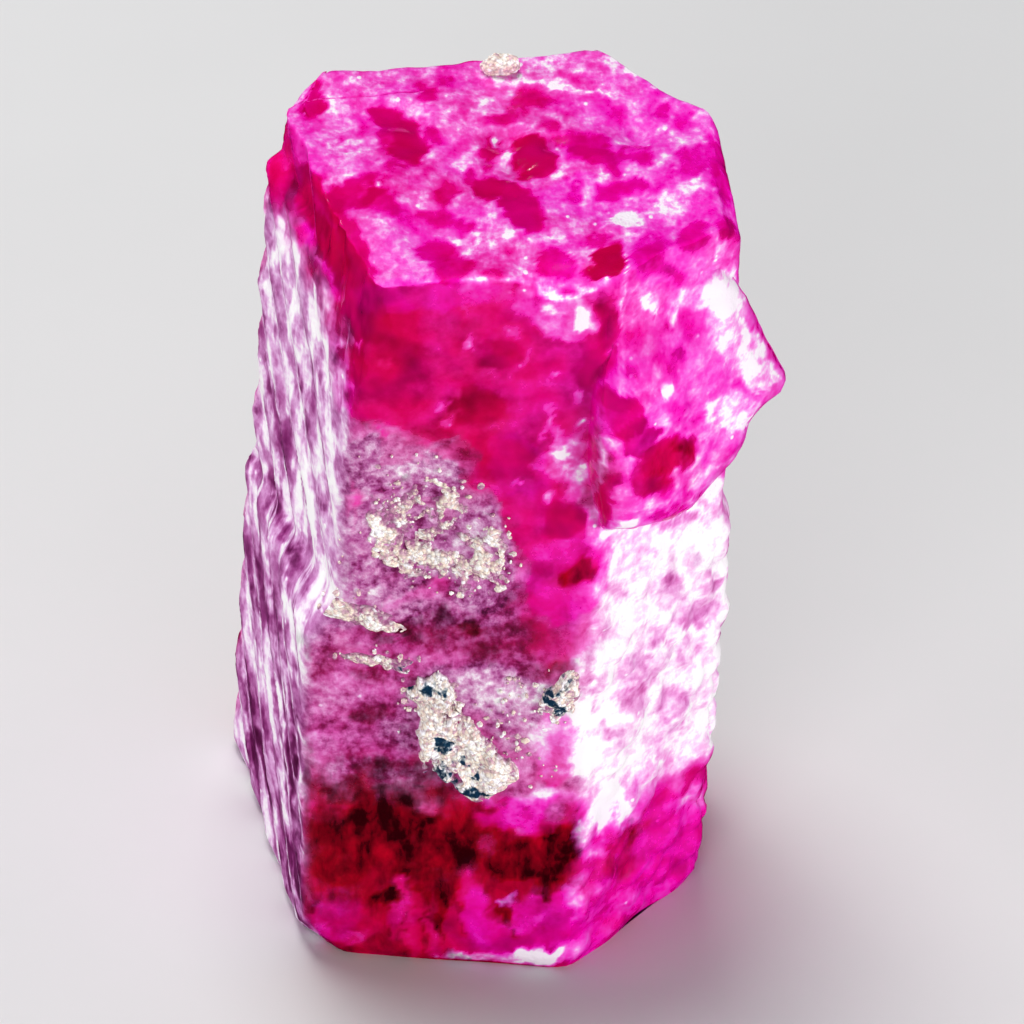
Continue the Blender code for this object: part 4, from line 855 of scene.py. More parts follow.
looseGrains = {
    "crust_upper": ((385, 520, 26, 40, 10, 0.5), (440, 575, 60, 22, 12, 0.6), (508, 550, 14, 30, 0, 0.5),
                    (420, 470, 50, 20, -10, 0.25), (375, 460, 22, 22, 0, 0.22),
                    (470, 500, 34, 20, 30, 0.3)),
    "crust_ledge": ((352, 608, 36, 18, 12, 0.7), (345, 560, 14, 50, 0, 0.2)),
    "crust_rim": ((374, 655, 44, 12, 4, 0.7), (420, 668, 30, 10, 10, 0.4)),
    "crust_lower": ((430, 700, 34, 30, 30, 0.5), (470, 745, 40, 46, 35, 0.5), (520, 720, 26, 46, -10, 0.35),
                    (540, 760, 20, 30, 0, 0.25)),
    "crust_corner": ((555, 695, 26, 30, 0, 0.6), (520, 700, 26, 24, 0, 0.3)),
}
tealPatches = (
    (408, 694, 9, 6, 0, 1.4), (427, 687, 10, 5, 0, 1.4), (441, 684, 4.5, 12, -25, 1.4),
    (414, 682, 8, 6, 0, 1.0), (432, 665, 12, 3, 0, 1.0), (402, 667, 14, 4, 0, 0.9),
    (405, 680, 6, 7, 0, 0.7), (447, 741, 8, 8, 0, 1.3), (446, 735, 11, 3, 0, 1.2),
    (459, 755, 7, 5, 0, 1.3), (481, 762, 11, 4, -50, 1.2), (473, 774, 5, 6, 0, 1.1),
    # the three at 438, 456 and 478 across, along the lower crust's lower rim, are painted shadow under the
    # crust
    (443, 768, 9, 12, 10, 1.3), (438, 782, 9, 7, 20, 1.3), (456, 788, 16, 7, 10, 1.4),
    (478, 792, 20, 6, -4, 1.3), (492, 735, 5, 8, 0, 0.6), (452, 716, 7, 4, 0, 0.6),
    (470, 750, 4, 4, 0, 0.6), (550, 696, 7, 14, -10, 1.3), (558, 688, 7, 4, 0, 1.2),
    (568, 684, 8, 5, -30, 1.2), (558, 707, 10, 5, 30, 1.4), (566, 668, 12, 4, -30, 0.9),
    (388, 480, 14, 6, -38, 0.8), (373, 512, 4, 14, -10, 0.6),
)


def onFront(x, z):
    # The front's station where the skin has that x at that height.
    left = skin(np.zeros_like(z), z, fine=False)[:, 0]
    right = skin(np.full_like(z, 0.999), z, fine=False)[:, 0]
    return np.clip((x - left) / (right - left), 0.0, 0.999)


def rockGrains(points):
    # Grains about random middles, round on top and each of its own height, with dust between them. Gives
    # the relief, the cracks, and two random numbers for each grain.
    shaken = points + 0.05 * np.stack([cloud(points, 0.16, seed) for seed in (61, 64, 67)], axis=1)
    near, second, tone = grains(shaken, hostRock["grain"], 62)
    dust, _, spot = grains(shaken, hostRock["dust"], 65)
    relief = (0.35 + 0.9 * tone) * (1.0 - 1.3 * near ** 2) + 0.35 * (1.0 - 1.3 * dust ** 2) * spot
    return relief, smooth((0.20 - (second - near)) / 0.2), 0.75 * tone + 0.35 * spot, 0.5 * (tone + spot)


def makeCrust(piece):
    # A lens on the skin: circles of one ragged ellipse, whose height over the skin is a flat dome times
    # the lumps, plus rounded grains. The underside is the same circles a little way inside the crystal.
    _, node, x, z, long, wide, tilt, flare, thick, seed, sectors, rings = piece
    angle = np.tile(np.arange(sectors) / sectors * 2.0 * math.pi, rings)
    share = np.repeat(np.arange(1, rings + 1) / rings, sectors)
    border = np.column_stack((long * np.cos(angle), wide * np.sin(angle), angle * 0.0 + seed))
    reach = share * (1.0 + 0.13 * (np.sin(3.0 * angle + seed) + 0.7 * np.sin(5.0 * angle + 2.3 * seed)
                                   + 0.3 * np.sin(8.0 * angle + 4.1 * seed)))
    reach += share ** 2 * hostRock["ragged"] * clouds(border, 0.5, int(seed * 10)) / np.hypot(*border.T[:2])
    turn = math.radians(tilt)
    ahead = reach * long * np.cos(angle)
    aside = reach * wide * np.sin(angle) * (1.0 + flare * np.cos(angle))
    x = np.concatenate(((x,), x + ahead * math.cos(turn) - aside * math.sin(turn)))
    z = np.concatenate(((z,), z + ahead * math.sin(turn) + aside * math.cos(turn)))
    share = np.concatenate(((0.0,), share))
    station = onFront(x, z)
    face = skin(station, z)
    number = int(seed * 10)
    coarse = clouds(face, hostRock["lump"], number + 3)
    grain, crack, tone, spot = rockGrains(face)
    lump = 1.0 + 0.22 * np.sin(2.9 * x + 1.7 * z + seed) * np.cos(2.3 * z - 1.9 * x)
    dome = np.sqrt(np.maximum(0.0, 1.0 - share ** 2.5))
    lift = thick * (0.12 + 0.88 * dome) * lump * (1.0 + 0.5 * clouds(face, 0.5, number + 7))
    lift += hostRock["gap"] + hostRock["lumpHeight"] * (coarse - 0.15)
    lift += hostRock["grainHeight"] * (grain - 0.45)
    shaken = np.stack([clouds(face, 0.35, shakeSeed) for shakeSeed in (81, 84)], axis=1)
    view = inView(shift(face)) + hostRock["shake"] * shaken
    bare = 0.45 * clouds(face, 0.6, number + 11) - 0.10
    bare += patched(np.zeros(len(view)), view, crustHollows, 1.0)
    if node == "matrix_upper":
        bare = 0.55 * clouds(face, 0.45, number + 11, 4) + 0.55
        bare -= patched(np.zeros(len(view)), view, keptCrust, 1.0)
    lift -= 0.9 * (thick + hostRock["grainHeight"]) * smooth(1.3 * bare)
    lift = np.where(share > 0.999, np.minimum(hostRock["borderLift"], lift), lift)
    upper = skin(station, z, extra=lift)
    under = skin(station, z, extra=-hostRock["sunk"] * np.minimum(1.0, 3.0 * (1.0 - share) + 0.35))
    count = rings * sectors + 1
    points = np.vstack((upper, under[:count]))
    index = 1 + np.arange(rings * sectors).reshape(rings, sectors)
    faces = np.vstack((gridFaces(index, closed=True)[:, ::-1], gridFaces(index + count, closed=True),
                       gridFaces(np.stack((index[-1], index[-1] + count)), closed=True)[:, ::-1]))
    fans = np.stack((index[0], np.roll(index[0], -1), index[0] * 0), axis=1)
    low = np.stack((index[0] + count, index[0] * 0 + count, np.roll(index[0], -1) + count), axis=1)
    teal = patched(np.zeros(len(view)), view, tealPatches, 1.0) * (0.8 + 0.6 * clouds(face, 0.30, 88))
    tone += hostRock["paler"].get(node, 0.0)
    paint = {
        # painted shade along the cracks between grains
        "creviceShade": np.tile(smooth(crack - 0.35 * coarse), 2),
        "tone": np.tile(tone + 0.22 * coarse, 2),
        "teal": np.tile(np.clip(0.85 * teal - 0.35 * spot + 0.15 * crack, 0.0, 1.0), 2),
        "thin": np.tile(smooth(0.75 + 1.0 * clouds(face, 0.42, 77) - lift / hostRock["thinUnder"]), 2),
    }
    return points, faces, fans.tolist() + low.tolist(), paint


def roundBall(rings, sectors):
    # A ball about the origin: a circle at each slant from the pole, as wide as the slant's sine and as high
    # as its cosine, and a point at each pole. Gives its points, its four-sided faces and its caps.
    slant = (np.arange(rings) + 0.5) / rings * math.pi
    angle = np.arange(sectors) / sectors * 2.0 * math.pi
    ball = np.stack((np.outer(np.sin(slant), np.cos(angle)), np.outer(np.sin(slant), np.sin(angle)),
                     np.outer(np.cos(slant), np.ones(sectors))), axis=-1).reshape(-1, 3)
    index = np.arange(rings * sectors).reshape(rings, sectors)
    above = np.stack((index[0], np.roll(index[0], -1), index[0] * 0 + rings * sectors), axis=1)
    below = np.stack((np.roll(index[-1], -1), index[-1], index[0] * 0 + rings * sectors + 1), axis=1)
    ball = np.vstack((ball, (0.0, 0.0, 1.0), (0.0, 0.0, -1.0)))
    return ball, gridFaces(index, closed=True)[:, ::-1], np.vstack((above, below))


def makeSpecks(patches, seed):
    # Loose grains: flattened lumpy balls set on the front and left skin at random places in the patches.
    pick = np.random.default_rng(seed)
    count = hostRock["speckCount"]
    station = pick.uniform(*hostRock["speckStations"], count) % 7.0
    z = pick.uniform(*hostRock["speckHeights"], count)
    place = skin(station, z, extra=0.02)
    chance = patched(np.zeros(count), inView(shift(place)), patches, 1.0)
    chosen = pick.uniform(0.0, 1.0, count) < chance * hostRock["speckChance"]
    place = place[chosen]
    smallest, largest = hostRock["speckSize"]
    size = smallest + (largest - smallest) * pick.uniform(0.0, 1.0, len(place)) ** 2.0
    ball, quads, caps = roundBall(*hostRock["speckBall"])
    stretch = pick.uniform(0.6, 1.4, (len(place), 1, 3)) * size[:, None, None]
    lumps = 1.0 + 0.25 * pick.uniform(-1.0, 1.0, (len(place), len(ball), 1))
    points = place[:, None, :] + ball[None] * stretch * lumps
    step = (np.arange(len(place)) * len(ball))[:, None, None]
    faces = (quads[None] + step).reshape(-1, 4)
    fans = (caps[None] + step).reshape(-1, 3)
    number = np.repeat(pick.uniform(0.0, 1.0, len(place)), len(ball))
    zero = number * 0.0
    paint = {"creviceShade": zero, "tone": number, "teal": zero, "thin": zero + 0.25}
    return points.reshape(-1, 3), faces, fans.tolist(), paint


def makeCrumb():
    # A ball, stretched to the half sizes and roughened by clouds and grains.
    middle, half = (np.array(row) for row in hostRock["crumb"])
    ball, quads, caps = roundBall(*hostRock["crumbBall"])
    flat = middle + ball * half
    coarse = clouds(flat, hostRock["lump"], 91)
    grain, crack, tone, _ = rockGrains(flat)
    swell = half * (1.0 + 0.26 * coarse)[:, None] + hostRock["grainHeight"] * (grain - 0.6)[:, None]
    # painted shade along the cracks between grains, as on the crusts
    paint = {"creviceShade": crack, "tone": tone + 0.2, "teal": tone * 0.0, "thin": tone * 0.0}
    return middle + ball * swell, quads, caps.tolist(), paint


def rockObject(name, *shapes):
    # One object of several closed shapes, with their painted values stored at the points.
    points, faces, extra, paint, start = [], [], [], {}, 0
    for shapePoints, shapeFaces, shapeExtra, shapePaint in shapes:
        points.append(shapePoints)
        faces.append(shapeFaces + start)
        extra += (np.array(shapeExtra) + start).tolist()
        for key, values in shapePaint.items():
            paint.setdefault(key, []).append(values)
        start += len(shapePoints)
    made = meshObject(name, shift(np.vstack(points)), np.vstack(faces), extra=extra, smoothAngle=60.0)
    storeTones(made, {key: np.concatenate(values) for key, values in paint.items()})
    return made


# Materials.

def addNode(tree, kind, inputs=None, **settings):
    # A node with its settings and inputs; an input that is another node's socket is linked.
    made = tree.nodes.new(kind)
    for name, value in settings.items():
        setattr(made, name, value)
    for name, value in (inputs or {}).items():
        if isinstance(value, bpy.types.NodeSocket):
            tree.links.new(value, made.inputs[name])
        else:
            made.inputs[name].default_value = value
    return made


def maths(tree, operation, first, second=0.0, third=0.0, clamp=False):
    return addNode(tree, "ShaderNodeMath", {0: first, 1: second, 2: third}, operation=operation,
                   use_clamp=clamp).outputs[0]


def ramp(tree, value, stops):
    # The colour at a value, between stops of a place and a colour each.
    made = addNode(tree, "ShaderNodeValToRGB", {"Fac": value})
    elements = made.color_ramp.elements
    while len(elements) < len(stops):
        elements.new(0.5)
    for element, (at, colour) in zip(elements, stops):
        element.position, element.color = at, (*colour, 1.0)
    return made.outputs["Color"]


def mixColour(tree, share, first, second):
    return addNode(tree, "ShaderNodeMix", {0: share, 6: first, 7: second}, data_type="RGBA").outputs[2]


def mapped(tree, value, low, high, least=0.0, most=1.0):
    # The value's run from low to high, stretched from least to most and held there beyond.
    return addNode(tree, "ShaderNodeMapRange", {"Value": value, "From Min": low, "From Max": high,
                                                "To Min": least, "To Max": most}).outputs[0]


def noise(tree, place, scale, detail, roughness=0.5, distortion=0.0):
    made = addNode(tree, "ShaderNodeTexNoise", {"Vector": place, "Scale": scale, "Detail": detail,
                                                "Roughness": roughness, "Distortion": distortion})
    return made.outputs[0]


def cells(tree, place, scale):
    # The distance to the nearest cell's middle, and that cell's own random number.
    cell = addNode(tree, "ShaderNodeTexVoronoi", {"Vector": place, "Scale": scale, "Randomness": 1.0},
                   feature="F1")
    own = addNode(tree, "ShaderNodeSeparateColor", {"Color": cell.outputs["Color"]})
    return cell.outputs["Distance"], own.outputs["Red"]


def newMaterial(name):
    # A material and its node tree.
    made = bpy.data.materials.new(name)
    made.use_nodes = True
    return made, made.node_tree


def makeMottleGroup():
    # Uneven grain, centred on nought: coarse and fine noise and the thin lines where a third noise passes
    # its middle. Flecks are the middles of the few cells whose own random number is high.
    tree = bpy.data.node_groups.new("mottle", "ShaderNodeTree")
    for name, kind, default in (("Vector", "NodeSocketVector", None), ("Coarse", "NodeSocketFloat", 1.0),
                                ("Fine", "NodeSocketFloat", 4.0), ("Web", "NodeSocketFloat", 1.5),
                                ("Fleck", "NodeSocketFloat", 3.0)):
        socket = tree.interface.new_socket(name, in_out="INPUT", socket_type=kind)
        if default is not None:
            socket.default_value = default
    for name in ("Mottle", "Flecks", "Height"):
        tree.interface.new_socket(name, in_out="OUTPUT", socket_type="NodeSocketFloat")
    given, result = tree.nodes.new("NodeGroupInput"), tree.nodes.new("NodeGroupOutput")
    place = given.outputs["Vector"]
    coarse = noise(tree, place, given.outputs["Coarse"], 4.0, 0.52, 0.1)
    fine = noise(tree, place, given.outputs["Fine"], 3.0, 0.55)
    web = noise(tree, place, given.outputs["Web"], 3.0, 0.55, 0.3)
    away, own = cells(tree, place, given.outputs["Fleck"])
    line = maths(tree, "ABSOLUTE", maths(tree, "SUBTRACT", web, 0.5))
    line = maths(tree, "MULTIPLY_ADD", line, -9.0, 1.0, clamp=True)
    both = maths(tree, "ADD", maths(tree, "MULTIPLY_ADD", coarse, 2.4, -1.2),
                 maths(tree, "MULTIPLY_ADD", fine, 0.8, -0.4))
    tree.links.new(maths(tree, "ADD", both, maths(tree, "MULTIPLY_ADD", line, 0.14, -0.03)),
                   result.inputs["Mottle"])
    middle = maths(tree, "MULTIPLY_ADD", away, -7.0, 1.5, clamp=True)
    chosen = maths(tree, "MULTIPLY_ADD", own, 14.0, -11.6, clamp=True)
    flecks = maths(tree, "MULTIPLY", middle, chosen)
    tree.links.new(flecks, result.inputs["Flecks"])
    tree.links.new(maths(tree, "ADD", fine, flecks), result.inputs["Height"])
    return tree


def placeMottle(tree, group, place, sizes):
    # The group at a place, with the scale of each of its parts.
    made = addNode(tree, "ShaderNodeGroup", node_tree=group)
    tree.links.new(place, made.inputs["Vector"])
    for name, size in sizes.items():
        made.inputs[name].default_value = size
    return made


def objectMillimetres(tree, x=1.0, y=1.0, z=1.0):
    # The place in millimetres, with each axis squeezed by a factor.
    coordinates = addNode(tree, "ShaderNodeTexCoord").outputs["Object"]
    scale = (1000.0 * x, 1000.0 * y, 1000.0 * z)
    made = addNode(tree, "ShaderNodeVectorMath", {0: coordinates, 1: scale}, operation="MULTIPLY")
    return made.outputs[0]


def attribute(tree, name):
    return addNode(tree, "ShaderNodeAttribute", attribute_name=name).outputs["Fac"]


ruby = {
    # Frost from clear to white: reds, magentas for the same places, then the dusty skin and the lilac one.
    "red": ((0.00, (0.60, 0.000, 0.080)), (0.15, (0.70, 0.000, 0.120)), (0.30, (0.80, 0.000, 0.190)),
            (0.43, (0.86, 0.000, 0.300)), (0.60, (0.90, 0.050, 0.440)), (0.75, (0.94, 0.150, 0.620)),
            (0.88, (0.97, 0.420, 0.840)), (1.0, (1.00, 0.900, 0.980))),
    "magenta": ((0.00, (0.74, 0.000, 0.230)), (0.15, (0.81, 0.000, 0.300)), (0.30, (0.90, 0.000, 0.420)),
                (0.43, (0.96, 0.000, 0.540)), (0.60, (0.98, 0.060, 0.660)), (0.75, (0.99, 0.180, 0.780)),
                (0.88, (0.99, 0.460, 0.900)), (1.0, (1.00, 0.920, 1.000))),
    "dusty": ((0.00, (0.10, 0.000, 0.045)), (0.16, (0.30, 0.010, 0.150)), (0.32, (0.50, 0.090, 0.350)),
              (0.50, (0.64, 0.240, 0.510)), (0.70, (0.78, 0.470, 0.690)), (0.86, (0.90, 0.750, 0.860)),
              (1.0, (0.99, 0.960, 0.960))),
    "lilac": ((0.00, (0.14, 0.004, 0.080)), (0.16, (0.28, 0.025, 0.190)), (0.32, (0.46, 0.090, 0.350)),
              (0.50, (0.64, 0.250, 0.560)), (0.68, (0.82, 0.500, 0.790)), (0.84, (0.95, 0.830, 0.940)),
              (1.0, (1.00, 0.980, 0.990))),
    "footRed": (0.66, 0.0, 0.028), "darkRed": (0.022, 0.0, 0.002),
    "transmission": 0.20, "ior": 1.77, "specular": 0.4,
    "absorption": (0.93, 0.03, 0.20), "density": 220.0,
    # How often the parts of the noise repeat, per mm.
    "mottle": {"Coarse": 1.7, "Fine": 6.0, "Web": 1.2, "Fleck": 2.6},
    "deepShade": 0.85, "vein": 1.7, "grit": 3.6, "tint": 0.42, "bandAcross": 1.25, "bandAlong": 0.50,
    "bump": 0.55, "bumpReach": 0.00005,
}


def makeRubyMaterial(mottle):
    # Frost, in places painted highlight, stain and dark from the mesh, broken up by the mottle, pick the
    # colour from the four scales.
    made, tree = newMaterial("ruby")
    tree.nodes.clear()
    place = objectMillimetres(tree)
    mottled = placeMottle(tree, mottle, objectMillimetres(tree, y=0.65), ruby["mottle"])
    swing = mottled.outputs["Mottle"]
    frostAndHighlight, stain, dark, slant, left, lilac, pink, top, even = (
        attribute(tree, name)
        for name in ("frostAndHighlight", "stain", "dark", "slant", "left", "lilac", "pink", "top", "even"))
    # White bands down the left face, partly whitish skin and partly painted highlight where the face
    # catches the light.
    rise = addNode(tree, "ShaderNodeSeparateXYZ", {0: place}).outputs["Z"]
    across = maths(tree, "MULTIPLY", slant, ruby["bandAcross"])
    down = maths(tree, "MULTIPLY", rise, ruby["bandAlong"])
    bandPlace = addNode(tree, "ShaderNodeCombineXYZ", {"X": across, "Z": down})
    band = mapped(tree, noise(tree, bandPlace.outputs[0], 1.0, 3.0, 0.55), 0.45, 0.60)
    painted = frostAndHighlight
    frostAndHighlight = maths(tree, "MULTIPLY_ADD", maths(tree, "MULTIPLY", band, left), 0.46, painted)
    dust = maths(tree, "MULTIPLY_ADD", swing, -0.25, maths(tree, "MULTIPLY", stain, 1.15), clamp=True)
    dusty = maths(tree, "MULTIPLY_ADD", stain, 4.0, -0.2, clamp=True)
    dust = maths(tree, "MULTIPLY", dust, dusty, clamp=True)
    # Frost with its mottle, the dust's grit and white flecks, which are painted glints.
    share = maths(tree, "MINIMUM", maths(tree, "MULTIPLY_ADD", frostAndHighlight, 0.7, 0.08), 0.46)
    share = maths(tree, "MULTIPLY", share, maths(tree, "MULTIPLY_ADD", even, -0.6, 1.0))
    frostedAndHighlit = maths(tree, "MULTIPLY_ADD", swing, share, frostAndHighlight)
    grit = mapped(tree, noise(tree, place, ruby["grit"], 4.0, 0.62), 0.36, 0.68, -0.16, 0.34)
    gritty = maths(tree, "MULTIPLY", dust, maths(tree, "MULTIPLY_ADD", lilac, -0.8, 1.0))
    gritty = maths(tree, "MULTIPLY_ADD", maths(tree, "MULTIPLY", top, frostAndHighlight), 0.7, gritty)
    frostedAndHighlit = maths(tree, "MULTIPLY_ADD", grit, gritty, frostedAndHighlit)
    glintFleck = maths(tree, "MULTIPLY_ADD", frostAndHighlight, 2.0, -0.3, clamp=True)
    glintFleck = maths(tree, "MULTIPLY", mottled.outputs["Flecks"], glintFleck)
    frostedAndHighlit = maths(tree, "MULTIPLY_ADD", glintFleck, 0.40, frostedAndHighlit, clamp=True)
    # Red or magenta by wide clouds and the painted share, and redder in the dark foot.
    tint = mapped(tree, noise(tree, place, ruby["tint"], 2.0, 0.6), 0.38, 0.62, 0.0, 0.6)
    tint = maths(tree, "ADD", tint, maths(tree, "MULTIPLY_ADD", top, 0.2, pink), clamp=True)
    clean = mixColour(tree, tint, ramp(tree, frostedAndHighlit, ruby["red"]), ramp(tree, frostedAndHighlit, ruby["magenta"]))
    redder = maths(tree, "MULTIPLY", maths(tree, "MULTIPLY", dark, 1.6, clamp=True),
                   maths(tree, "MULTIPLY_ADD", frostedAndHighlit, -2.2, 1.5, clamp=True))
    clean = mixColour(tree, redder, clean, (*ruby["footRed"], 1.0))
    skinned = mixColour(tree, lilac, ramp(tree, frostedAndHighlit, ruby["dusty"]), ramp(tree, frostedAndHighlit, ruby["lilac"]))
    colour = mixColour(tree, dust, clean, skinned)
    # Depth without light: wide clouds where it is clear, and the veined dark places.
    deepShade = mapped(tree, noise(tree, place, ruby["deepShade"], 2.0), 0.42, 0.72, 0.0, 0.55)
    deepShade = maths(tree, "MULTIPLY", deepShade, maths(tree, "MULTIPLY_ADD", frostedAndHighlit, -2.6, 1.3, clamp=True))
    deepShade = maths(tree, "MULTIPLY", deepShade, maths(tree, "MULTIPLY_ADD", top, -0.75, 1.0))
    vein = noise(tree, objectMillimetres(tree, z=0.5), ruby["vein"], 4.0, 0.6, 0.2)
    shade = maths(tree, "MULTIPLY_ADD", dark, 1.1, -1.12)
    shade = maths(tree, "MULTIPLY_ADD", vein, 2.0, shade, clamp=True)
    shade = maths(tree, "MULTIPLY", shade, maths(tree, "MULTIPLY_ADD", dark, 4.0, -0.4, clamp=True))
    shade = maths(tree, "MULTIPLY", maths(tree, "MAXIMUM", shade, deepShade), 0.97, clamp=True)
    colour = mixColour(tree, shade, colour, (*ruby["darkRed"], 1.0))
    # Frost is rougher than clear skin, and grain stands up where it is painted.
    rough = mapped(tree, frostedAndHighlit, 0.15, 0.85, 0.12, 0.58)
    rough = maths(tree, "MULTIPLY_ADD", dust, 0.28, rough, clamp=True)
    height = maths(tree, "ADD", painted, -0.12, clamp=True)
    height = maths(tree, "MULTIPLY", mottled.outputs["Height"], height)
    height = maths(tree, "MULTIPLY_ADD", maths(tree, "MULTIPLY", grit, gritty), 2.0, height)
    bump = addNode(tree, "ShaderNodeBump", {"Height": height, "Strength": ruby["bump"],
                                            "Distance": ruby["bumpReach"]})
    shader = addNode(tree, "ShaderNodeBsdfPrincipled", {
        "Base Color": colour, "Roughness": rough, "Normal": bump.outputs[0], "IOR": ruby["ior"],
        "Specular IOR Level": ruby["specular"], "Transmission Weight": ruby["transmission"]})
    inside = addNode(tree, "ShaderNodeVolumeAbsorption", {"Color": (*ruby["absorption"], 1.0),
                                                          "Density": ruby["density"]})
    output = tree.nodes.new("ShaderNodeOutputMaterial")
    tree.links.new(shader.outputs[0], output.inputs["Surface"])
    tree.links.new(inside.outputs[0], output.inputs["Volume"])
    return made


rockColours = {
    "grain": ((0.00, (0.28, 0.10, 0.20)), (0.18, (0.52, 0.28, 0.40)), (0.36, (0.72, 0.50, 0.56)),
              (0.54, (0.84, 0.70, 0.58)), (0.72, (0.90, 0.86, 0.76)), (1.0, (0.98, 0.97, 0.99))),
    "creviceShade": (0.20, 0.08, 0.14), "thin": (0.44, 0.15, 0.32),
    "teal": (0.020, 0.115, 0.185), "navy": (0.003, 0.032, 0.075),
    "mottle": {"Coarse": 2.2, "Fine": 7.0, "Web": 3.0, "Fleck": 5.0},
    "crumbs": 9.0, "roughness": 0.62, "bump": 0.7, "bumpReach": 0.00004,
}


def makeRockMaterial(mottle):
    # Each grain takes its colour from its own number; worn places, painted shade in the crevices and round
    # each crumb, and blue-green stain, which along the lower crust's lower rim is a painted shadow, cover
    # it.
    made, tree = newMaterial("host_rock")
    shader = tree.nodes["Principled BSDF"]
    place = objectMillimetres(tree)
    mottled = placeMottle(tree, mottle, place, rockColours["mottle"])
    tone, creviceShade, teal, thin = (attribute(tree, name) for name in ("tone", "creviceShade", "teal", "thin"))
    # Small crumbs inside the grains: each has a number of its own and a rim of painted shade.
    away, own = cells(tree, place, rockColours["crumbs"])
    dome = maths(tree, "MULTIPLY_ADD", away, -1.3, 1.0, clamp=True)
    number = maths(tree, "MULTIPLY_ADD", own, 0.55, maths(tree, "MULTIPLY", tone, 0.55))
    number = maths(tree, "MULTIPLY_ADD", mottled.outputs["Mottle"], 0.25, number, clamp=True)
    colour = ramp(tree, number, rockColours["grain"])
    worn = maths(tree, "MULTIPLY_ADD", own, -0.6, maths(tree, "MULTIPLY", thin, 1.25), clamp=True)
    colour = mixColour(tree, worn, colour, (*rockColours["thin"], 1.0))
    # Painted shade in the crevices between grains and at each crumb's rim.
    deepShade = maths(tree, "MULTIPLY_ADD", creviceShade, 0.45, 0.20)
    deepShade = maths(tree, "MULTIPLY_ADD", dome, -0.35, deepShade, clamp=True)
    colour = mixColour(tree, deepShade, colour, (*rockColours["creviceShade"], 1.0))
    green = maths(tree, "MULTIPLY_ADD", own, -0.75, maths(tree, "MULTIPLY", teal, 1.35))
    green = maths(tree, "MULTIPLY_ADD", mottled.outputs["Mottle"], -0.6, green)
    green = maths(tree, "MULTIPLY", green, maths(tree, "MULTIPLY", teal, 1.5, clamp=True), clamp=True)
    blue = ramp(tree, green, ((0.35, rockColours["teal"]), (0.95, rockColours["navy"])))
    colour = mixColour(tree, maths(tree, "MULTIPLY", green, 1.25, clamp=True), colour, blue)
    height = maths(tree, "ADD", mottled.outputs["Height"], maths(tree, "MULTIPLY", dome, 1.2))
    bump = addNode(tree, "ShaderNodeBump", {"Height": height, "Strength": rockColours["bump"],
                                            "Distance": rockColours["bumpReach"]})
    tree.links.new(colour, shader.inputs["Base Color"])
    tree.links.new(bump.outputs[0], shader.inputs["Normal"])
    shader.inputs["Roughness"].default_value = rockColours["roughness"]
    return made


# Floor, light and camera.

studio = {
    "floor": (0.77, 0.765, 0.76), "floorRings": (20.0, 80.0, 300.0, 900.0), "floorSectors": 96,
    "world": (0.80, 0.82, 0.86), "worldStrength": 0.30, "sparing": ("left_window", "right_window"),
    "gamma": 0.88, "exposure": 0.15,
    # name, place in mm, width in mm, watts, whether the crystal mirrors it
    "lamps": (("left_window", (-200.0, -10.0, 90.0), 120.0, 0.18, False),
              ("right_window", (200.0, -110.0, 45.0), 100.0, 0.38, False),
              ("top_window", (-40.0, 60.0, 260.0), 120.0, 0.44, False),
              ("small_lamp", (-110.0, 150.0, 190.0), 8.0, 0.005, True),
              ("front_window", (-70.0, -240.0, 70.0), 160.0, 0.28, False)),
}


def makeFloor():
    # A flat disc: rings of one circle about the origin.
    sectors = studio["floorSectors"]
    angle = np.arange(sectors) / sectors * 2.0 * math.pi
    reach = np.array(studio["floorRings"])[:, None]
    points = np.stack((reach * np.cos(angle), reach * np.sin(angle), reach * 0.0 * angle), axis=-1)
    points = points.reshape(-1, 3)
    index = np.arange(len(points)).reshape(-1, sectors)
    floor = meshObject("floor", points, gridFaces(index, closed=True)[:, ::-1], extra=[index[0].tolist()])
    made, tree = newMaterial("pale_floor")
    shader = tree.nodes["Principled BSDF"]
    speck = noise(tree, objectMillimetres(tree), 0.05, 4.0)
    floorColour = studio["floor"]
    colour = ramp(tree, speck, ((0.3, tuple(0.97 * c for c in floorColour)), (0.7, floorColour)))
    tree.links.new(colour, shader.inputs["Base Color"])
    shader.inputs["Roughness"].default_value = 1.0
    shader.inputs["Specular IOR Level"].default_value = 0.0
    floor.data.materials.append(made)
    floor.visible_glossy = False   # only the lamps are mirrored in the crystal


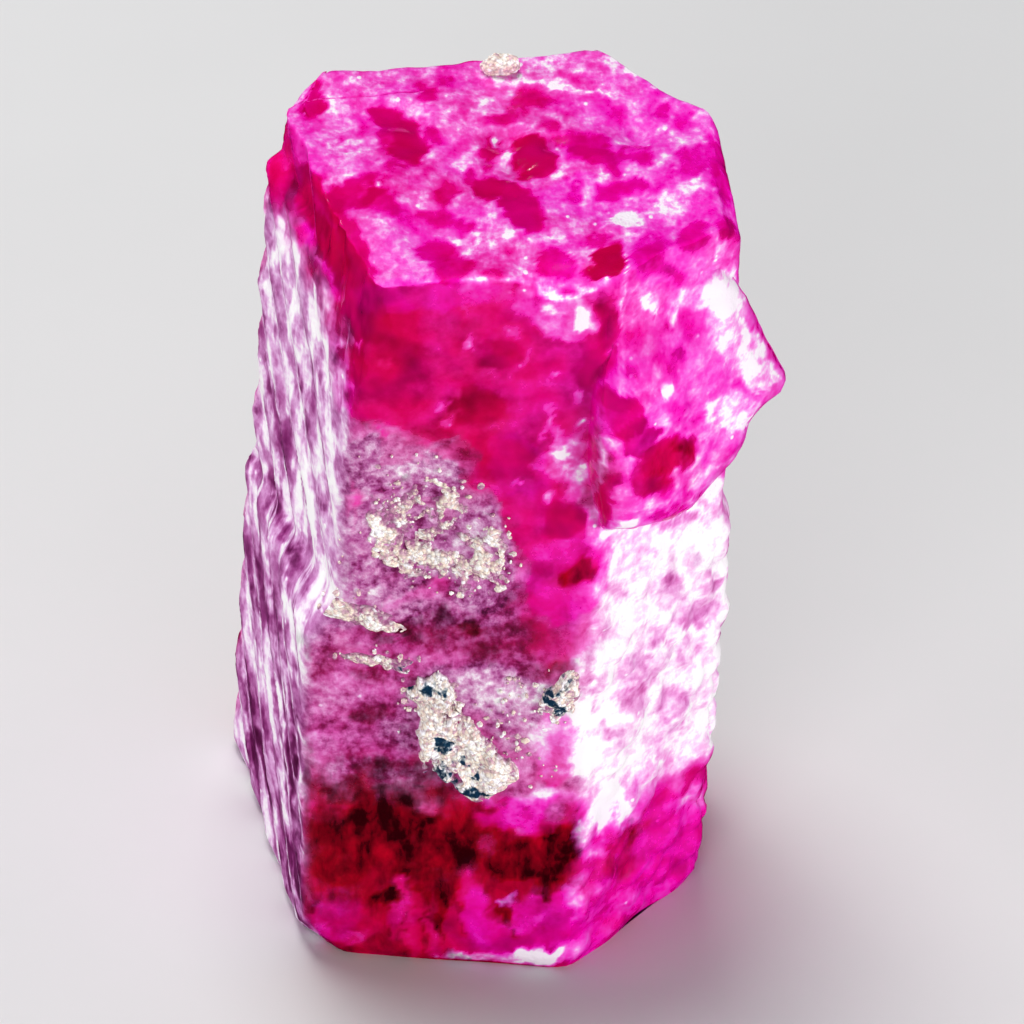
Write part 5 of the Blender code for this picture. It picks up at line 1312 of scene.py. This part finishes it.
def makeLamps():
    # Round lamps aimed at the crystal. Those named in sparing leave out the floor, which would glare.
    spared = bpy.data.collections.new("spared")
    spared.objects.link(bpy.data.objects["floor"])
    spared.collection_objects[0].light_linking.link_state = "EXCLUDE"
    for name, place, width, power, mirrored in studio["lamps"]:
        data = bpy.data.lights.new(name, "AREA")
        data.shape, data.size, data.energy = "DISK", width * mm, power
        lamp = bpy.data.objects.new(name, data)
        lamp.visible_glossy, lamp.visible_transmission = mirrored, False
        lamp.location = [value * mm for value in place]
        aim = np.array(viewpoint["target"]) * mm - np.array(lamp.location)
        lamp.rotation_euler = mathutils.Vector(aim).to_track_quat("-Z", "Y").to_euler()
        bpy.context.scene.collection.objects.link(lamp)
        if name in studio["sparing"]:
            lamp.light_linking.receiver_collection = spared
    world = bpy.data.worlds.new("studio")
    world.use_nodes = True
    background = world.node_tree.nodes["Background"]
    background.inputs["Color"].default_value = (*studio["world"], 1.0)
    background.inputs["Strength"].default_value = studio["worldStrength"]
    world.cycles_visibility.glossy = False
    bpy.context.scene.world = world


def makeCamera():
    # Stands at its distance behind the target, with the lens that gives the pixels per millimetre there.
    right, up, backward = viewAxes()
    data = bpy.data.cameras.new("camera")
    data.sensor_width = viewpoint["sensor"]
    data.lens = viewpoint["pixelsPerMm"] * viewpoint["distance"] * viewpoint["sensor"] / viewpoint["frame"]
    data.clip_start, data.clip_end = 0.01, 10.0
    camera = bpy.data.objects.new("camera", data)
    place = (np.array(viewpoint["target"]) + backward * viewpoint["distance"]) * mm
    camera.matrix_world = mathutils.Matrix.Translation(place) @ mathutils.Matrix(
        np.stack((right, up, backward), axis=1).tolist()).to_4x4()
    bpy.context.scene.collection.objects.link(camera)
    bpy.context.scene.camera = camera


crystal = grownTogether(makePrism(), makeSideCrystal())
print("crystal made:", len(crystal.data.polygons), "faces")
paintSkin(crystal)
mottle = makeMottleGroup()
crystal.data.materials.clear()
crystal.data.materials.append(makeRubyMaterial(mottle))
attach(crystal, "root")
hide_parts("crystal")

rockLook = makeRockMaterial(mottle)
rocks = [(piece[0], piece[1], (makeCrust(piece), makeSpecks(looseGrains[piece[0]], 81 + number)))
         for number, piece in enumerate(hostRock["crusts"])]
rocks.append(("crumb", "matrix_crumb", (makeCrumb(),)))
for name, node, shapes in rocks:
    rock = rockObject(name, *shapes)
    rock.data.materials.append(rockLook)
    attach(rock, "root")
    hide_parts(node)
    print(name, "made:", len(rock.data.polygons), "faces")

makeFloor()
makeLamps()
makeCamera()
bpy.context.scene.view_settings.view_transform = "Standard"
bpy.context.scene.view_settings.gamma = studio["gamma"]
bpy.context.scene.view_settings.exposure = studio["exposure"]
print("studio made")
